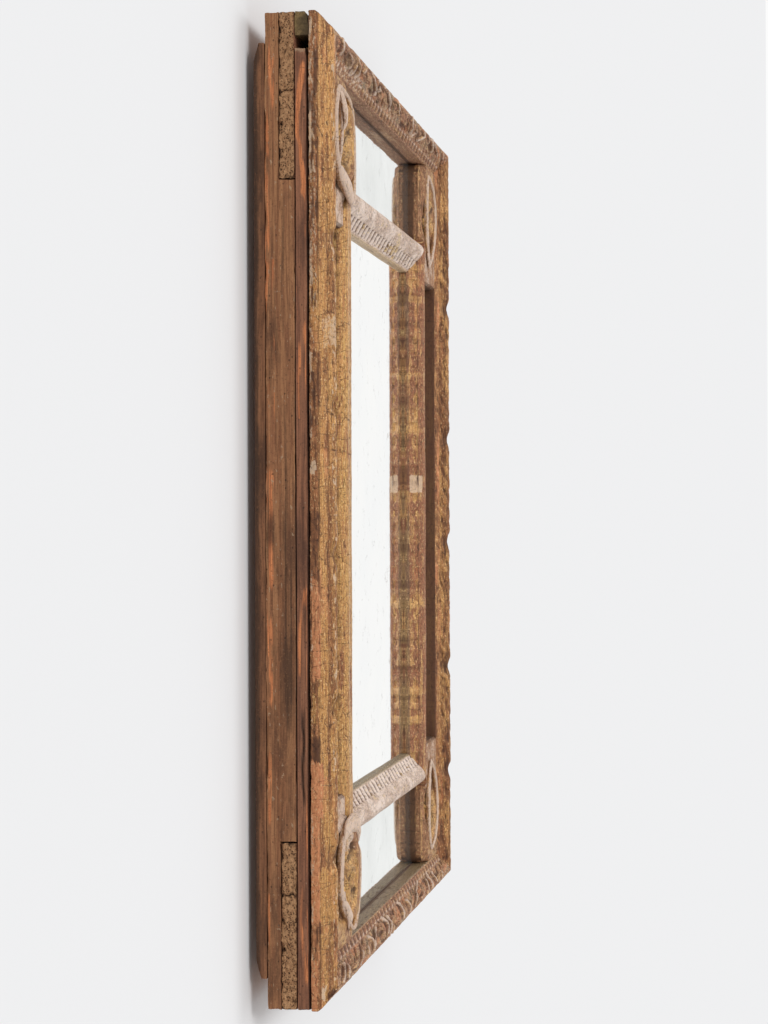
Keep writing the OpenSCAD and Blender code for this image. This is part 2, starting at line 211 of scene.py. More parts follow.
def make_gilding_group():
    """Layers of an old gilded surface: leaf over red bole, pale rubbed gesso, dirt and painted shade.

    Tint below 0.5 is grey dust, above 0.5 bare orange bole.
    """
    group, n, get, out = new_group(
        "gilding_layers",
        [("Point", "v"), ("Run", "v"), ("Leaf", "f"), ("Pale", "f"), ("Dark", "f"), ("Tint", "f"),
         ("Leaf Color", "c"), ("Bole Color", "c"), ("Pale Color", "c"), ("Dark Color", "c")],
        [("Color", "c"), ("Roughness", "f"), ("Metallic", "f"), ("Height", "f")])
    point, run = get["Point"], get["Run"]
    gold, red, gesso, grime_and_shade = (get[layer + " Color"] for layer in ("Leaf", "Bole", "Pale", "Dark"))
    streak = n.noise(run, (20.0, 700.0, 1.0), 6.0, 0.7)
    hair = n.noise(run, (46.0, 1800.0, 1.0), 3.0, 0.7, 0.0, (0.3, 0.7, 0.0))
    patch = n.noise(run, (48.0, 210.0, 1.0), 6.0, 0.7, 0.5)
    grit = n.noise(point, 1500.0, 4.0, 0.75)
    fleck = n.noise(point, 380.0, 5.0, 0.72, 0.8)
    chip = n.noise(run, (130.0, 300.0, 1.0), 4.0, 0.7, 0.6, (1.3, 4.1, 0.0))
    bright = n.noise(run, (240.0, 620.0, 1.0), 3.0, 0.65, 0.0, (5.2, 2.3, 0.0))
    pit = n.noise(run, (170.0, 480.0, 1.0), 4.0, 0.7, 0.0, (7.7, 3.1, 0.0))
    cross = n.noise(run, (640.0, 70.0, 1.0), 3.0, 0.7, 0.0, (2.9, 8.3, 0.0))
    cell = n.cells(run, (75.0, 42.0, 1.0), "DISTANCE_TO_EDGE")
    crack = n.times(n.span(cell, 0.0, 0.03, 1.0, 0.0), n.span(chip, 0.42, 0.6))
    # How far each layer holds, pushed about by the streaks, patches and flecks.
    worn = n.plus(n.times(streak, 0.6), n.times(patch, 0.6))
    leaf = n.span(n.plus(get["Leaf"], n.minus(worn, 0.6)), 0.38, 0.62)
    leaf = n.times(leaf, n.span(fleck, 0.34, 0.42))
    pale = n.plus(n.times(fleck, 0.9), n.times(hair, 0.5))
    pale = n.span(n.plus(get["Pale"], n.minus(pale, 0.7)), 0.36, 0.60)
    dark = n.swing(n.plus(n.times(patch, 0.5), n.times(hair, 0.5)), 1.2)
    dark = n.span(n.plus(get["Dark"], dark), 0.22, 0.85)
    bare = n.span(get["Tint"], 0.55, 0.95)
    dusty = n.span(get["Tint"], 0.45, 0.05)
    calm = n.minus(1.0, n.times(n.most(pale, bare), 0.65))
    # The coats, from the bole up to the dirt.
    bole = n.mix(n.span(chip, 0.4, 0.6), red, n.mix(0.4, red, grime_and_shade))
    tone = n.mix(n.span(streak, 0.38, 0.62), n.mix(0.45, gold, srgb(226, 184, 118)), n.mix(0.65, gold, red))
    color = n.mix(leaf, bole, tone)
    color = n.mix(bare, color, n.mix(n.span(chip, 0.35, 0.7), srgb(214, 142, 96), srgb(180, 116, 76)))
    color = n.mix(n.times(pale, 0.88), color, gesso)
    color = n.mix(dusty, color, n.mix(n.span(fleck, 0.35, 0.7), srgb(150, 136, 106), srgb(110, 98, 72)))
    color = n.mix(n.times(n.span(hair, 0.5, 0.62, 0.0, 0.55), calm), color, grime_and_shade)
    # The dark channel: dirt, and painted shade where a piece puts it, such as lips and flank feet by the
    # glass.
    color = n.mix(n.times(dark, 0.88), color, grime_and_shade)
    color = n.mix(n.times(crack, 0.75), color, n.mix(0.5, grime_and_shade, BLACK))
    for field, low, high, at_low, at_high in (
            (grit, 0.40, 0.58, 0.45, 0.0), (pit, 0.56, 0.64, 0.0, 0.66), (cross, 0.58, 0.66, 0.0, 0.6)):
        color = n.mix(n.times(n.span(field, low, high, at_low, at_high), calm), color, grime_and_shade)
    gleam = n.times(n.span(bright, 0.58, 0.64, 0.0, 0.75), n.span(dark, 0.6, 0.15))
    color = n.mix(gleam, color, n.mix(0.55, gold, srgb(236, 208, 160)))
    spark = n.times(n.span(grit, 0.55, 0.66), n.span(hair, 0.5, 0.38))
    spark = n.times(spark, n.span(dark, 0.5, 0.1))
    n.put(out["Color"], n.mix(spark, color, n.mix(0.5, gesso, srgb(236, 206, 146))))
    shine = n.times(leaf, n.minus(1.0, n.most(pale, dark)))
    n.put(out["Metallic"], n.times(shine, 0.45))
    n.put(out["Roughness"], n.plus(n.span(shine, 0.0, 1.0, 0.74, 0.44), n.swing(grit, 0.25)))
    height = n.times(streak, 0.35)
    for field, share in ((fleck, 0.4), (hair, 0.2), (grit, 0.15)):
        height = n.plus(height, n.times(field, share))
    height = n.minus(height, n.span(pit, 0.55, 0.64, 0.0, 0.3))
    n.put(out["Height"], n.minus(height, n.times(crack, 0.5)))
    return group


def make_wood_group():
    """Old softwood: grain along the run, orange rubbed streaks, stains, dents, worm holes."""
    group, n, get, out = new_group(
        "old_wood_grain",
        [("Run", "v"), ("Light Color", "c"), ("Red Color", "c"), ("Dark Color", "c"),
         ("Worm", "f"), ("Orange", "f"), ("Scuff", "f"), ("Dirt And Shade", "f")],
        [("Color", "c"), ("Roughness", "f"), ("Height", "f")])
    run, light, red, deep = (get[name] for name in ("Run", "Light Color", "Red Color", "Dark Color"))
    wander = n.noise(run, (9.0, 9.0, 4.0), 2.0, 0.5)
    push = n.add("ShaderNodeCombineXYZ", inputs={
        "X": n.times(wander, 0.02), "Y": n.times(wander, 0.014)}).outputs[0]
    bent = n.add("ShaderNodeVectorMath", operation="ADD", inputs={0: run, 1: push}).outputs[0]
    fibre = n.noise(bent, (900.0, 900.0, 16.0), 5.0, 0.7)
    rings = n.noise(bent, (260.0, 260.0, 5.0), 5.0, 0.6, 0.4)
    patch = n.noise(run, (40.0, 40.0, 9.0), 5.0, 0.65)
    stain = n.noise(run, (120.0, 120.0, 26.0), 5.0, 0.7, 0.0, (3.1, 1.7, 0.4))
    speck = n.noise(run, 500.0, 4.0, 0.75)
    hole = n.times(n.span(n.cells(run, (120.0, 120.0, 85.0)), 0.07, 0.12, 1.0, 0.0), get["Worm"])
    orange = n.span(n.plus(get["Orange"], n.swing(rings, 1.6)), 0.35, 0.65)
    scuff = n.span(n.plus(get["Scuff"], n.swing(speck, 1.2)), 0.4, 0.6)
    # Dirt also carries painted shade: the back boards' rear by the wall and the laths' front under the outer
    # moulding.
    dirt = n.span(n.plus(get["Dirt And Shade"], n.swing(stain, 0.9)), 0.2, 0.8)
    color = n.mix(n.span(rings, 0.38, 0.64), light, red)
    color = n.mix(n.span(patch, 0.46, 0.66, 0.0, 0.8), color, deep)
    color = n.mix(n.span(fibre, 0.46, 0.64, 0.0, 0.6), color, deep)
    color = n.mix(n.span(stain, 0.58, 0.68, 0.0, 0.5), color, light)
    color = n.mix(orange, color, n.mix(n.span(fibre, 0.38, 0.62), srgb(224, 142, 90), srgb(172, 104, 68)))
    color = n.mix(n.times(scuff, 0.8), color, srgb(182, 152, 122))
    # Dirt and painted shade darken towards soot.
    color = n.mix(n.times(dirt, 0.85), color, n.mix(0.55, deep, SOOT_AND_SHADE))
    color = n.mix(n.span(speck, 0.55, 0.66, 0.0, 0.65), color, deep)
    color = n.mix(n.span(speck, 0.44, 0.34, 0.0, 0.35), color, light)
    n.put(out["Color"], n.mix(hole, color, WORM_HOLE))
    n.put(out["Roughness"], n.span(fibre, 0.3, 0.7, 0.7, 0.88))
    height = n.plus(n.times(fibre, 0.55), n.times(rings, 0.4))
    n.put(out["Height"], n.minus(n.plus(height, n.times(speck, 0.2)), hole))
    return group


GILDING = make_gilding_group()
WOOD = make_wood_group()


def gilded(name, *tones):
    """A gilded finish on a piece that carries wear and run. tones: leaf, bole, gesso, and dirt, which also
    colours painted shade.
    """
    material, n = new_material(name)
    leaf, pale, dark, tint = n.wear()
    run = n.add("ShaderNodeAttribute", attribute_name="run").outputs["Vector"]
    colors = {layer + " Color": srgb(*tone) for layer, tone in zip(("Leaf", "Bole", "Pale", "Dark"), tones)}
    layers = n.add("ShaderNodeGroup", node_tree=GILDING, inputs={
        "Point": n.place(), "Run": run, "Leaf": leaf, "Pale": pale, "Dark": dark, "Tint": tint,
        **colors}).outputs
    n.surface(layers["Height"], 0.7, 0.0012, {
        "Base Color": layers["Color"], "Roughness": layers["Roughness"],
        "Metallic": layers["Metallic"], "Specular IOR Level": 0.35})
    return material


def wooden(name, tones, worm, along, shift=(0.0, 0.0, 0.0), shaded_rear=False):
    """Bare old wood with its grain along the given axis of the object.

    tones: light, red and dark. shift moves the figure, so that boards differ. A shaded rear
    darkens towards the wall: painted shade.
    """
    material, n = new_material(name)
    turn = {"z": (0.0, 0.0, 0.0), "x": (0.0, math.radians(90.0), 0.0)}[along]
    place = n.place()
    laid = n.add("ShaderNodeMapping", inputs={"Vector": place, "Rotation": turn, "Location": shift})
    orange, scuff, dirt = n.wear()[:3]
    if shaded_rear:
        # Painted shade: the board darkens towards its rear by the wall, fed in where dirt goes.
        depth = n.add("ShaderNodeSeparateXYZ", inputs={0: place}).outputs["Y"]
        dirt = n.span(depth, REAR_LIT_AT, REAR_SHADED_AT, 0.12, 0.75)
    colors = {layer + " Color": srgb(*tone) for layer, tone in zip(("Light", "Red", "Dark"), tones)}
    grain = n.add("ShaderNodeGroup", node_tree=WOOD, inputs={
        "Run": laid.outputs["Vector"], "Worm": worm, "Orange": orange, "Scuff": scuff, "Dirt And Shade": dirt,
        **colors}).outputs
    n.surface(grain["Height"], 0.6, 0.001, {
        "Base Color": grain["Color"], "Roughness": grain["Roughness"], "Specular IOR Level": 0.3})
    return material


def end_grain():
    """Crumbling, worm-eaten end grain of the rails."""
    material, n = new_material("worm_eaten_end_grain")
    place = n.place()
    coarse = n.noise(place, (190.0, 330.0, 230.0), 6.0, 0.7)
    fine = n.noise(place, 1300.0, 5.0, 0.75)
    pits = n.cells(place, (420.0, 620.0, 480.0))
    hole = n.times(n.span(pits, 0.16, 0.46, 1.0, 0.0), n.span(coarse, 0.42, 0.58, 1.0, 0.0))
    hole = n.most(hole, n.span(n.wear()[2], 0.25, 0.8))
    color = n.mix(n.span(coarse, 0.34, 0.66), srgb(158, 114, 80), srgb(212, 164, 120))
    color = n.mix(n.span(fine, 0.42, 0.64, 0.0, 0.6), color, srgb(118, 82, 58))
    color = n.mix(n.times(hole, 0.92), color, srgb(46, 31, 22))
    height = n.plus(n.times(coarse, 0.6), n.times(fine, 0.4))
    n.surface(n.minus(height, n.times(hole, 0.9)), 1.0, 0.0022, {
        "Base Color": color, "Roughness": 0.9, "Specular IOR Level": 0.2})
    return material


def silvered_glass(name, clear, cloudy, veil):
    """Old mirror glass: silvering that has gone cloudy, grey and spotted."""
    material, n = new_material(name)
    place = n.place()
    cloud = n.noise(place, 9.0, 5.0, 0.6)
    mottle = n.noise(place, (46.0, 46.0, 46.0), 6.0, 0.66, 0.5)
    speck = n.noise(place, 360.0, 3.0, 0.7)
    fox = n.times(n.span(mottle, 0.56, 0.72), n.span(speck, 0.42, 0.62))
    color = n.mix(n.span(cloud, 0.3, 0.7), clear, cloudy)
    color = n.mix(n.times(fox, 0.55), color, srgb(120, 122, 116))
    rough = n.plus(n.span(mottle, 0.45, 0.75, 0.03, 0.06), n.times(fox, 0.12))
    n.surface(n.noise(place, 14.0, 1.0, 0.4), 0.05, 0.0004, {
        "Base Color": color, "Roughness": rough, "Metallic": 1.0 - veil})
    return material


def forged_iron():
    """Hand-forged iron, dark and a little rusty."""
    material, n = new_material("forged_iron")
    place = n.place()
    rust = n.noise(place, 320.0, 5.0, 0.65)
    dent = n.noise(place, 900.0, 3.0, 0.6)
    color = n.mix(n.span(rust, 0.48, 0.66), srgb(62, 57, 54), srgb(112, 66, 42))
    n.surface(n.plus(dent, rust), 0.6, 0.0004, {
        "Base Color": color, "Roughness": n.span(rust, 0.45, 0.65, 0.42, 0.8),
        "Metallic": n.span(rust, 0.5, 0.64, 0.85, 0.1)})
    return material


STILE_GILT = gilded("outer_gilding", (208, 148, 78), (168, 110, 66), (216, 186, 156), (80, 50, 34))
RAIL_GILT = gilded("outer_rail_gilding", (208, 162, 110), (184, 132, 101), (222, 198, 180), (88, 58, 42))
INNER_STILE = gilded("inner_stile_gilding", (216, 164, 88), (174, 112, 78), (220, 190, 160), (80, 52, 36))
INNER_RAIL = gilded("inner_rail_gilding", (238, 209, 152), (236, 208, 190), (248, 229, 217), (98, 68, 50))
SCROLL_GILT = gilded("scroll_gilding", (216, 164, 88), (184, 130, 92), (228, 204, 186), (76, 52, 36))

CARCASS_UP = wooden("carcass_wood_upright", ((170, 120, 82), (142, 94, 64), (92, 61, 43)), 0.6, "z")
CARCASS_ACROSS = wooden("carcass_wood_across", ((152, 104, 76), (124, 80, 58), (84, 56, 42)), 0.6, "x")
BACK_WOODS = [
    wooden("back_board_wood_%d" % k, tones, 0.5, "z", (0.37 * k, 0.11 * k, 0.23 * k), True)
    for k, tones in enumerate((((176, 118, 79), (145, 92, 60), (80, 51, 35)),
                               ((150, 102, 70), (122, 80, 54), (72, 48, 34)),
                               ((164, 112, 74), (130, 86, 58), (80, 53, 37))))]
LATH_UP = wooden("lath_wood_upright", ((154, 104, 76), (122, 80, 60), (84, 56, 43)), 0.5, "z")
LATH_ACROSS = wooden("lath_wood_across", ((150, 124, 82), (122, 98, 62), (86, 68, 44)), 0.5, "x")
OAK = wooden("oak_pegs", ((170, 128, 86), (140, 98, 64), (96, 66, 44)), 0.1, "x")
END_GRAIN = end_grain()
GLASS = silvered_glass("old_silvered_glass", (0.955, 0.955, 0.94, 1.0), (0.91, 0.92, 0.92, 1.0), 0.0)
GREY_GLASS = silvered_glass("greyed_silvered_glass", (0.82, 0.84, 0.82, 1.0), (0.68, 0.70, 0.68, 1.0), 0.06)
IRON = forged_iron()


# Numbers for the carving
def step(x, low, high):
    t = np.clip((x - low) / (high - low), 0.0, 1.0)
    return t * t * (3 - 2 * t)


def window(x, low, high, soft):
    return step(x, low - soft, low + soft) * (1 - step(x, high - soft, high + soft))


def hump(x, width):
    return np.exp(-(x / width) ** 2)


class Grain:
    """Smooth random fields that are the same on every run."""

    def __init__(self, seed):
        self.table = np.random.default_rng(seed).random((64, 64))

    def at(self, a, b):
        """Values from 0 to 1 that change over about one unit of a and b."""
        ia, ib = np.floor(a).astype(int), np.floor(b).astype(int)
        fa, fb = a - ia, b - ib
        fa, fb = fa * fa * (3 - 2 * fa), fb * fb * (3 - 2 * fb)
        t = self.table
        low = t[ia % 64, ib % 64] * (1 - fa) + t[(ia + 1) % 64, ib % 64] * fa
        high = t[ia % 64, (ib + 1) % 64] * (1 - fa) + t[(ia + 1) % 64, (ib + 1) % 64] * fa
        return low * (1 - fb) + high * fb

    def deep(self, a, b, octaves=3):
        """The same with finer octaves added, centred on zero."""
        total, size, norm = 0.0, 1.0, 0.0
        for k in range(octaves):
            total = total + size * (self.at(a * 2 ** k + 17.3 * k, b * 2 ** k + 5.1 * k) - 0.5)
            norm += size * 0.5
            size *= 0.55
        return total / norm

    def marks(self, a, b, octaves, low, high):
        """Irregular marks: 1 where the deep field is above high, 0 where it is below low."""
        return step(self.deep(a, b, octaves), low, high)


class Wear:
    """The wear channels of a piece, leaf, pale, dark and tint, built up coat by coat. Dark also carries
    painted shade on some pieces.
    """

    def __init__(self, leaf, pale, dark, tint=0.5):
        self.channels = (leaf, pale, dark, tint)

    def add(self, leaf=0.0, pale=0.0, dark=0.0, tint=0.0):
        self.channels = tuple(old + new for old, new in zip(self.channels, (leaf, pale, dark, tint)))

    def rows(self):
        return np.stack(np.broadcast_arrays(*self.channels), 1)


def path_lengths(points):
    """Distance along a polyline at each of its points."""
    return np.concatenate([[0], np.cumsum(np.linalg.norm(np.diff(points, axis=0), axis=1))])


def rounded(points, spacing):
    """Points at about the given spacing along a polyline, with its corners eased."""
    pts = np.array(points, float)
    for _ in range(2):
        cut = [pts[0]]
        for a, b in zip(pts[:-1], pts[1:]):
            cut += [a * 0.8 + b * 0.2, a * 0.2 + b * 0.8]
        pts = np.array(cut + [pts[-1]])
    run = path_lengths(pts)
    where = np.linspace(0, run[-1], int(run[-1] / spacing) + 1)
    return np.stack([np.interp(where, run, pts[:, 0]), np.interp(where, run, pts[:, 1])], 1)


# Meshes
SHARP_EDGE = 0.9  # radians


def place_on_edge(side, u, h, z):
    """From distance inward, height and run along an edge to the mirror's frame."""
    if side == "left":
        return np.stack([-WIDE / 2 + u, -FRONT - h, -TALL / 2 + z], -1)
    if side == "right":
        return np.stack([WIDE / 2 - u, -FRONT - h, -TALL / 2 + z], -1)
    if side == "top":
        return np.stack([-WIDE / 2 + z, -FRONT - h, TALL / 2 - u], -1)
    return np.stack([-WIDE / 2 + z, -FRONT - h, -TALL / 2 + u], -1)


def finish_piece(bm, name, materials, body, nodes, wear=None, run=None, zone=None):
    """Turns a bmesh in millimetres into a piece that stands for the given CAD nodes.

    zone gives 1 for vertices whose faces take the second material.
    """
    bmesh.ops.recalc_face_normals(bm, faces=bm.faces)
    for edge in bm.edges:
        if len(edge.link_faces) == 2:
            edge.smooth = edge.calc_face_angle(0.0) < SHARP_EDGE
    mesh = bpy.data.meshes.new(name)
    bm.to_mesh(mesh)
    bm.free()
    mesh.transform(Matrix.Scale(MM, 4))
    for material in materials:
        mesh.materials.append(material)
    if wear is not None:
        layer = mesh.attributes.new("wear", "FLOAT_COLOR", "POINT")
        layer.data.foreach_set("color", np.clip(wear, 0.0, 1.0).astype(np.float32).ravel())
    if run is not None:
        layer = mesh.attributes.new("run", "FLOAT_VECTOR", "POINT")
        layer.data.foreach_set("vector", (run * MM).astype(np.float32).ravel())
    if zone is not None:
        second = [int(all(zone[v] for v in face.vertices)) for face in mesh.polygons]
        mesh.polygons.foreach_set("material_index", second)
    mesh.polygons.foreach_set("use_smooth", [True] * len(mesh.polygons))
    piece = bpy.data.objects.new(name, mesh)
    bpy.context.scene.collection.objects.link(piece)
    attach(piece, body)
    if nodes:
        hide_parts(*nodes)
    return piece


def fill_holes(bm):
    bmesh.ops.holes_fill(bm, edges=[e for e in bm.edges if e.is_boundary], sides=0)


def swept_bar(profile, count):
    """A bar of the closed profile along z from 0 to 1, cut into count lengths, its ends filled."""
    bm = bmesh.new()
    ring = [bm.verts.new((p[0], -p[1], 0.0)) for p in profile]
    edges = [bm.edges.new((ring[i], ring[(i + 1) % len(ring)])) for i in range(len(ring))]
    grown = bmesh.ops.extrude_edge_only(bm, edges=edges)["geom"]
    ends = [v for v in grown if isinstance(v, bmesh.types.BMVert)]
    bmesh.ops.translate(bm, verts=ends, vec=(0.0, 0.0, 1.0))
    rails = [e for e in bm.edges if abs(e.verts[0].co.z - e.verts[1].co.z) > 0.5]
    bmesh.ops.subdivide_edges(bm, edges=rails, cuts=count - 1, use_grid_fill=False)
    for level in (0.0, 1.0):
        rim = [e for e in bm.edges if e.is_boundary and abs(e.verts[0].co.z - level) < 1e-4]
        bmesh.ops.holes_fill(bm, edges=rim, sides=0)
    bm.verts.ensure_lookup_table()
    return bm


def verts_of(bm):
    return np.array([v.co[:] for v in bm.verts])


def move_verts(bm, places):
    for v, p in zip(bm.verts, places):
        v.co = p


def profile_normals(profile):
    """Outward normals of a closed profile, smoothed over three points."""
    ahead, behind = np.roll(profile, -1, 0), np.roll(profile, 1, 0)
    d = ahead - behind
    n = np.stack([-d[:, 1], d[:, 0]], 1)
    n /= np.maximum(np.linalg.norm(n, axis=1, keepdims=True), 1e-9)
    x, y = profile[:, 0], profile[:, 1]
    area = np.sum(x * np.roll(y, -1) - np.roll(x, -1) * y)
    return n if area < 0 else -n


def find_profile_points(co, profile):
    """For each vertex of a swept bar, the profile point it came from."""
    key = {(round(p[0], 3), round(p[1], 3)): i for i, p in enumerate(profile)}
    return np.array([key[(round(c[0], 3), round(-c[1], 3))] for c in co.round(6)])


# Mouldings. A profile point is distance inward from the mirror's edge and height in front of
# the carcass.
OUTER_TOP = 38.0  # the highest point of the outer moulding
OUTER_FRONT = [(0.6, 14), (0.1, 14.8), (0, 17), (0, 21.3), (1.4, 22.2), (1.8, 23.6), (4, 25.4), (7, 28),
               (10, 30.6), (11, 30.9), (13, 34), (16, 36.8), (19.5, 38), (23, 37.2), (26.5, 34.6),
               (29.5, 31), (32, 27.6), (34, 25.6), (41.3, 21.6), (42, 20.8), (43, 20), (43, 3.3)]
OUTER_BACK = [(37, 3.3), (31, 3.3), (31, LATH), (16, LATH)]
INNER_FRONT = [(140, 3), (140, 12), (141.5, 18), (144.5, 22.3), (149, 24.9), (155, 26), (161, 26),
               (167, 24.8), (172.5, 22), (178.5, 17), (189.5, 10), (190, 8.8), (192, 8.2), (192, 3)]
INNER_RAIL_FRONT = [(140, 3), (141.5, 5), (146, 10.5), (150, 17), (153, 21.4), (156.5, 24.4), (161, 26)]
INNER_RAIL_FRONT += INNER_FRONT[7:]
INNER_BACK = [(175, 3), (157, 3)]
OUTER_SPACING, INNER_SPACING = 1.15, 1.25
MOULDING_PITCH = 1.7
FLUTE_PITCH = 18.4
RIGHT_SHADE_FROM, RIGHT_SHADE_TO = WIDE - 206, WIDE - 150  # run of the dark right end of the inner rails
# Run of the low places between the lobes of the crest.
NOTCHES = {"left": (150, 300, 455, 605, 772), "right": (153, 293, 462, 599, 776),
           "top": (112, 292, 386, 560, 664), "bottom": (110, 280, 368, 560, 700)}
# The pale ribs of the carved leaves: how strong, then distance inward and run of points
# from the crest to the foot.
RIBS = {
    "top": ((1.0, 17, 66, 24, 72, 29, 78), (0.6, 20, 112, 25, 122, 30, 140),
            (0.8, 20, 150, 25.5, 172, 29.5, 184, 32.5, 182), (0.6, 27, 156, 31, 164, 33.5, 162),
            (0.7, 19, 186, 21, 198, 25.5, 192), (1.1, 18.5, 234, 23, 252, 26.5, 272, 29.5, 290),
            (0.9, 19.5, 270, 20.5, 292, 25, 298, 30.5, 292), (1.1, 19, 312, 22, 342, 27, 366),
            (0.9, 18.5, 338, 25.5, 356, 28, 378, 30, 388), (0.9, 20.5, 408, 26, 422, 27.5, 436),
            (0.8, 20, 432, 21, 462, 23, 472), (1.0, 18, 510, 23.5, 510, 27, 528, 31, 542),
            (0.6, 22, 556, 27, 566, 31, 560), (1.0, 19.5, 602, 24, 608, 30.5, 594),
            (0.6, 19, 640, 25, 650), (1.0, 15.5, 674, 24, 678, 29, 692),
            (0.9, 20, 692, 23.5, 702, 27.5, 732), (0.7, 19, 760, 26, 772)),
    "bottom": ((1.0, 21.5, 50, 26.5, 72, 30.5, 94), (0.8, 20, 78, 23.5, 84, 28.5, 100),
               (1.0, 20, 144, 23, 162, 27, 176), (0.6, 22, 196, 27, 206),
               (0.9, 20, 226, 26, 240, 28.5, 266, 32, 288), (0.8, 23.5, 234, 28, 242, 31.5, 238),
               (1.1, 22.5, 316, 25.5, 330, 30, 344, 35, 342), (1.1, 18, 326, 22.5, 338, 27.5, 358, 32, 364),
               (0.8, 17.5, 346, 23.5, 360), (1.1, 21.5, 424, 27, 436, 32, 450, 36, 438),
               (0.9, 20, 470, 25, 480, 30, 486), (1.1, 20.5, 508, 27.5, 542, 34, 598, 38, 615),
               (0.6, 20, 566, 26, 584), (0.8, 19, 610, 25, 622, 30, 640),
               (0.9, 20, 648, 29, 658, 35, 672), (0.9, 21, 688, 25.5, 688, 31, 698),
               (0.7, 19, 730, 26, 742))}
# Ribs of the left and right mouldings, which can't be read in the photograph: distance from
# each notch and strength.
PLAIN_RIBS = ((-62, 0.8), (-40, 0.6), (12, 0.9), (34, 0.6), (58, 0.5))
# Patches of the left moulding: run from and to, height from and to, and how much leaf, pale,
# dark and tint they add.
LEFT_PATCHES = (
    (88, 140, 22, 38, 0.45, 0.0, -0.2, 0.0), (0, 50, 14, 20, -0.4, 0.0, -0.4, 0.8),
    (88, 248, 14, 23, -0.4, 0.0, -0.4, 0.8), (190, 247, 20, 26, -0.4, 0.0, -0.3, 0.7),
    (20, 160, 14, 18, -0.2, 0.1, 0.1, 0.1), (12, 24, 24.5, 28, 0.0, 0.9, -0.4, 0.0),
    (536, 546, 14, 21, 0.0, 0.9, -0.4, 0.0), (560, 640, 14, 20, 0.0, 0.05, 0.30, 0.0),
    (640, 700, 14, 22, 0.2, 0.15, -0.2, 0.0), (664, 694, 26, 38, 0.3, 0.4, -0.3, 0.0),
    (286, 320, 14, 24, 0.3, 0.0, -0.2, 0.0), (330, 420, 16, 24, 0.0, 0.0, -0.2, 0.4),
    (430, 500, 14, 22, 0.0, 0.0, 0.45, 0.0), (880, 940, 29, 36, 0.4, 0.1, -0.2, 0.0),
    (700, 990, 14, 22, 0.1, 0.28, 0.1, 0.0), (248, 273, 14, 24, 0.0, 0.0, 0.5, 0.0),
    (196, 232, 26, 30, 0.1, 0.0, 0.2, 0.2))


def closed_profile(front_points, back_points, spacing):
    """A fine front and a coarse back as one closed ring, and how many points are front."""
    front = rounded(front_points, spacing)
    return np.concatenate([front, np.array(back_points, float)]), len(front)


def carved_moulding(name, side, profile, front, material, node, relief):
    """A mitred moulding along one edge whose front part is carved by relief.

    relief(u, h, z, s) gives, for distance inward, height, run along and profile length,
    the growth along the normal and the wear colours.
    """
    length = TALL if side in UPRIGHT else WIDE
    inner = profile[:, 0].min()
    bm = swept_bar(profile, int((length - 2 * inner) / MOULDING_PITCH))
    co = verts_of(bm)
    normals = profile_normals(profile)
    index = find_profile_points(co, profile)
    u, h, t = profile[index, 0], profile[index, 1], co[:, 2]
    z = u + t * (length - 2 * u)
    s = path_lengths(profile)[index]
    grow, wear = relief(u, h, z, s)
    grow = grow * (index < front) * step(np.minimum(t, 1 - t) * length, -1.0, 2.0)
    u2 = np.maximum(u + normals[index, 0] * grow, 0.0)
    h2 = np.minimum(h + normals[index, 1] * grow, OUTER_TOP)
    z2 = np.clip(z, u2, length - u2) if side in UPRIGHT else z
    move_verts(bm, place_on_edge(side, u2, h2, z2))
    run = np.stack([z, s, np.zeros_like(z)], 1)
    return finish_piece(bm, name, [material], "frame", [node], wear.rows(), run)


def patch_sums(patches, g, z, h):
    """What the irregular patches of a table add to leaf, pale, dark and tint."""
    z = z + 6.0 * g.deep(z / 9.0, h / 2.0, 3)
    h = h + 1.6 * g.deep(z / 14.0 + 3.0, h / 3.0, 3)
    sums = [0.0, 0.0, 0.0, 0.0]
    for z_from, z_to, h_from, h_to, *amounts in patches:
        mask = window(z, z_from, z_to, 1.2) * window(h, h_from, h_to, 0.5)
        sums = [total + amount * mask for total, amount in zip(sums, amounts)]
    return sums


def flakes(g, z, s):
    """Sharp edged fields of gilding that has come off in blocks between cross cracks."""
    z = z + 3.0 * g.deep(z / 6.0, s / 3.0, 2)
    return g.marks(z / 38.0 + 11.0, s / 9.0, 3, 0.05, 0.16) - g.marks(z / 30.0 + 4.0, s / 7.0, 3, 0.1, 0.2)


def ribs_along(side):
    """The ribs of one outer moulding: strength, then distance inward and run of points."""
    if side in RIBS:
        return RIBS[side]
    return tuple((size, 18, n + off, 24, n + off + 16, 31, n + off + 30)
                 for n in NOTCHES[side] for off, size in PLAIN_RIBS)


def leaf_ribs(side, g, u, z):
    """Ridges that run down from the crest, the hollows beside them and the fields between."""
    ribs, hollows, fields = 0.0, 0.0, 0.0
    for size, *line in ribs_along(side):
        inward, along = np.array(line[0::2], float), np.array(line[1::2], float)
        held = size * window(u, inward[0] - 2.0, inward[-1] + 0.8, 0.9)
        off = z - np.interp(u, inward, along) + 2.5 * g.deep(z / 20.0, u / 9.0 + along[0], 2)
        ribs = ribs + held * hump(off, 4.6)
        hollows = hollows + held * (hump(off + 11.0, 5.0) + 0.8 * hump(off - 10.0, 4.6))
        fields = fields + held * hump(off - 25.0, 13.0)
    return (np.clip(field, 0, 1.15) for field in (ribs, hollows, fields))


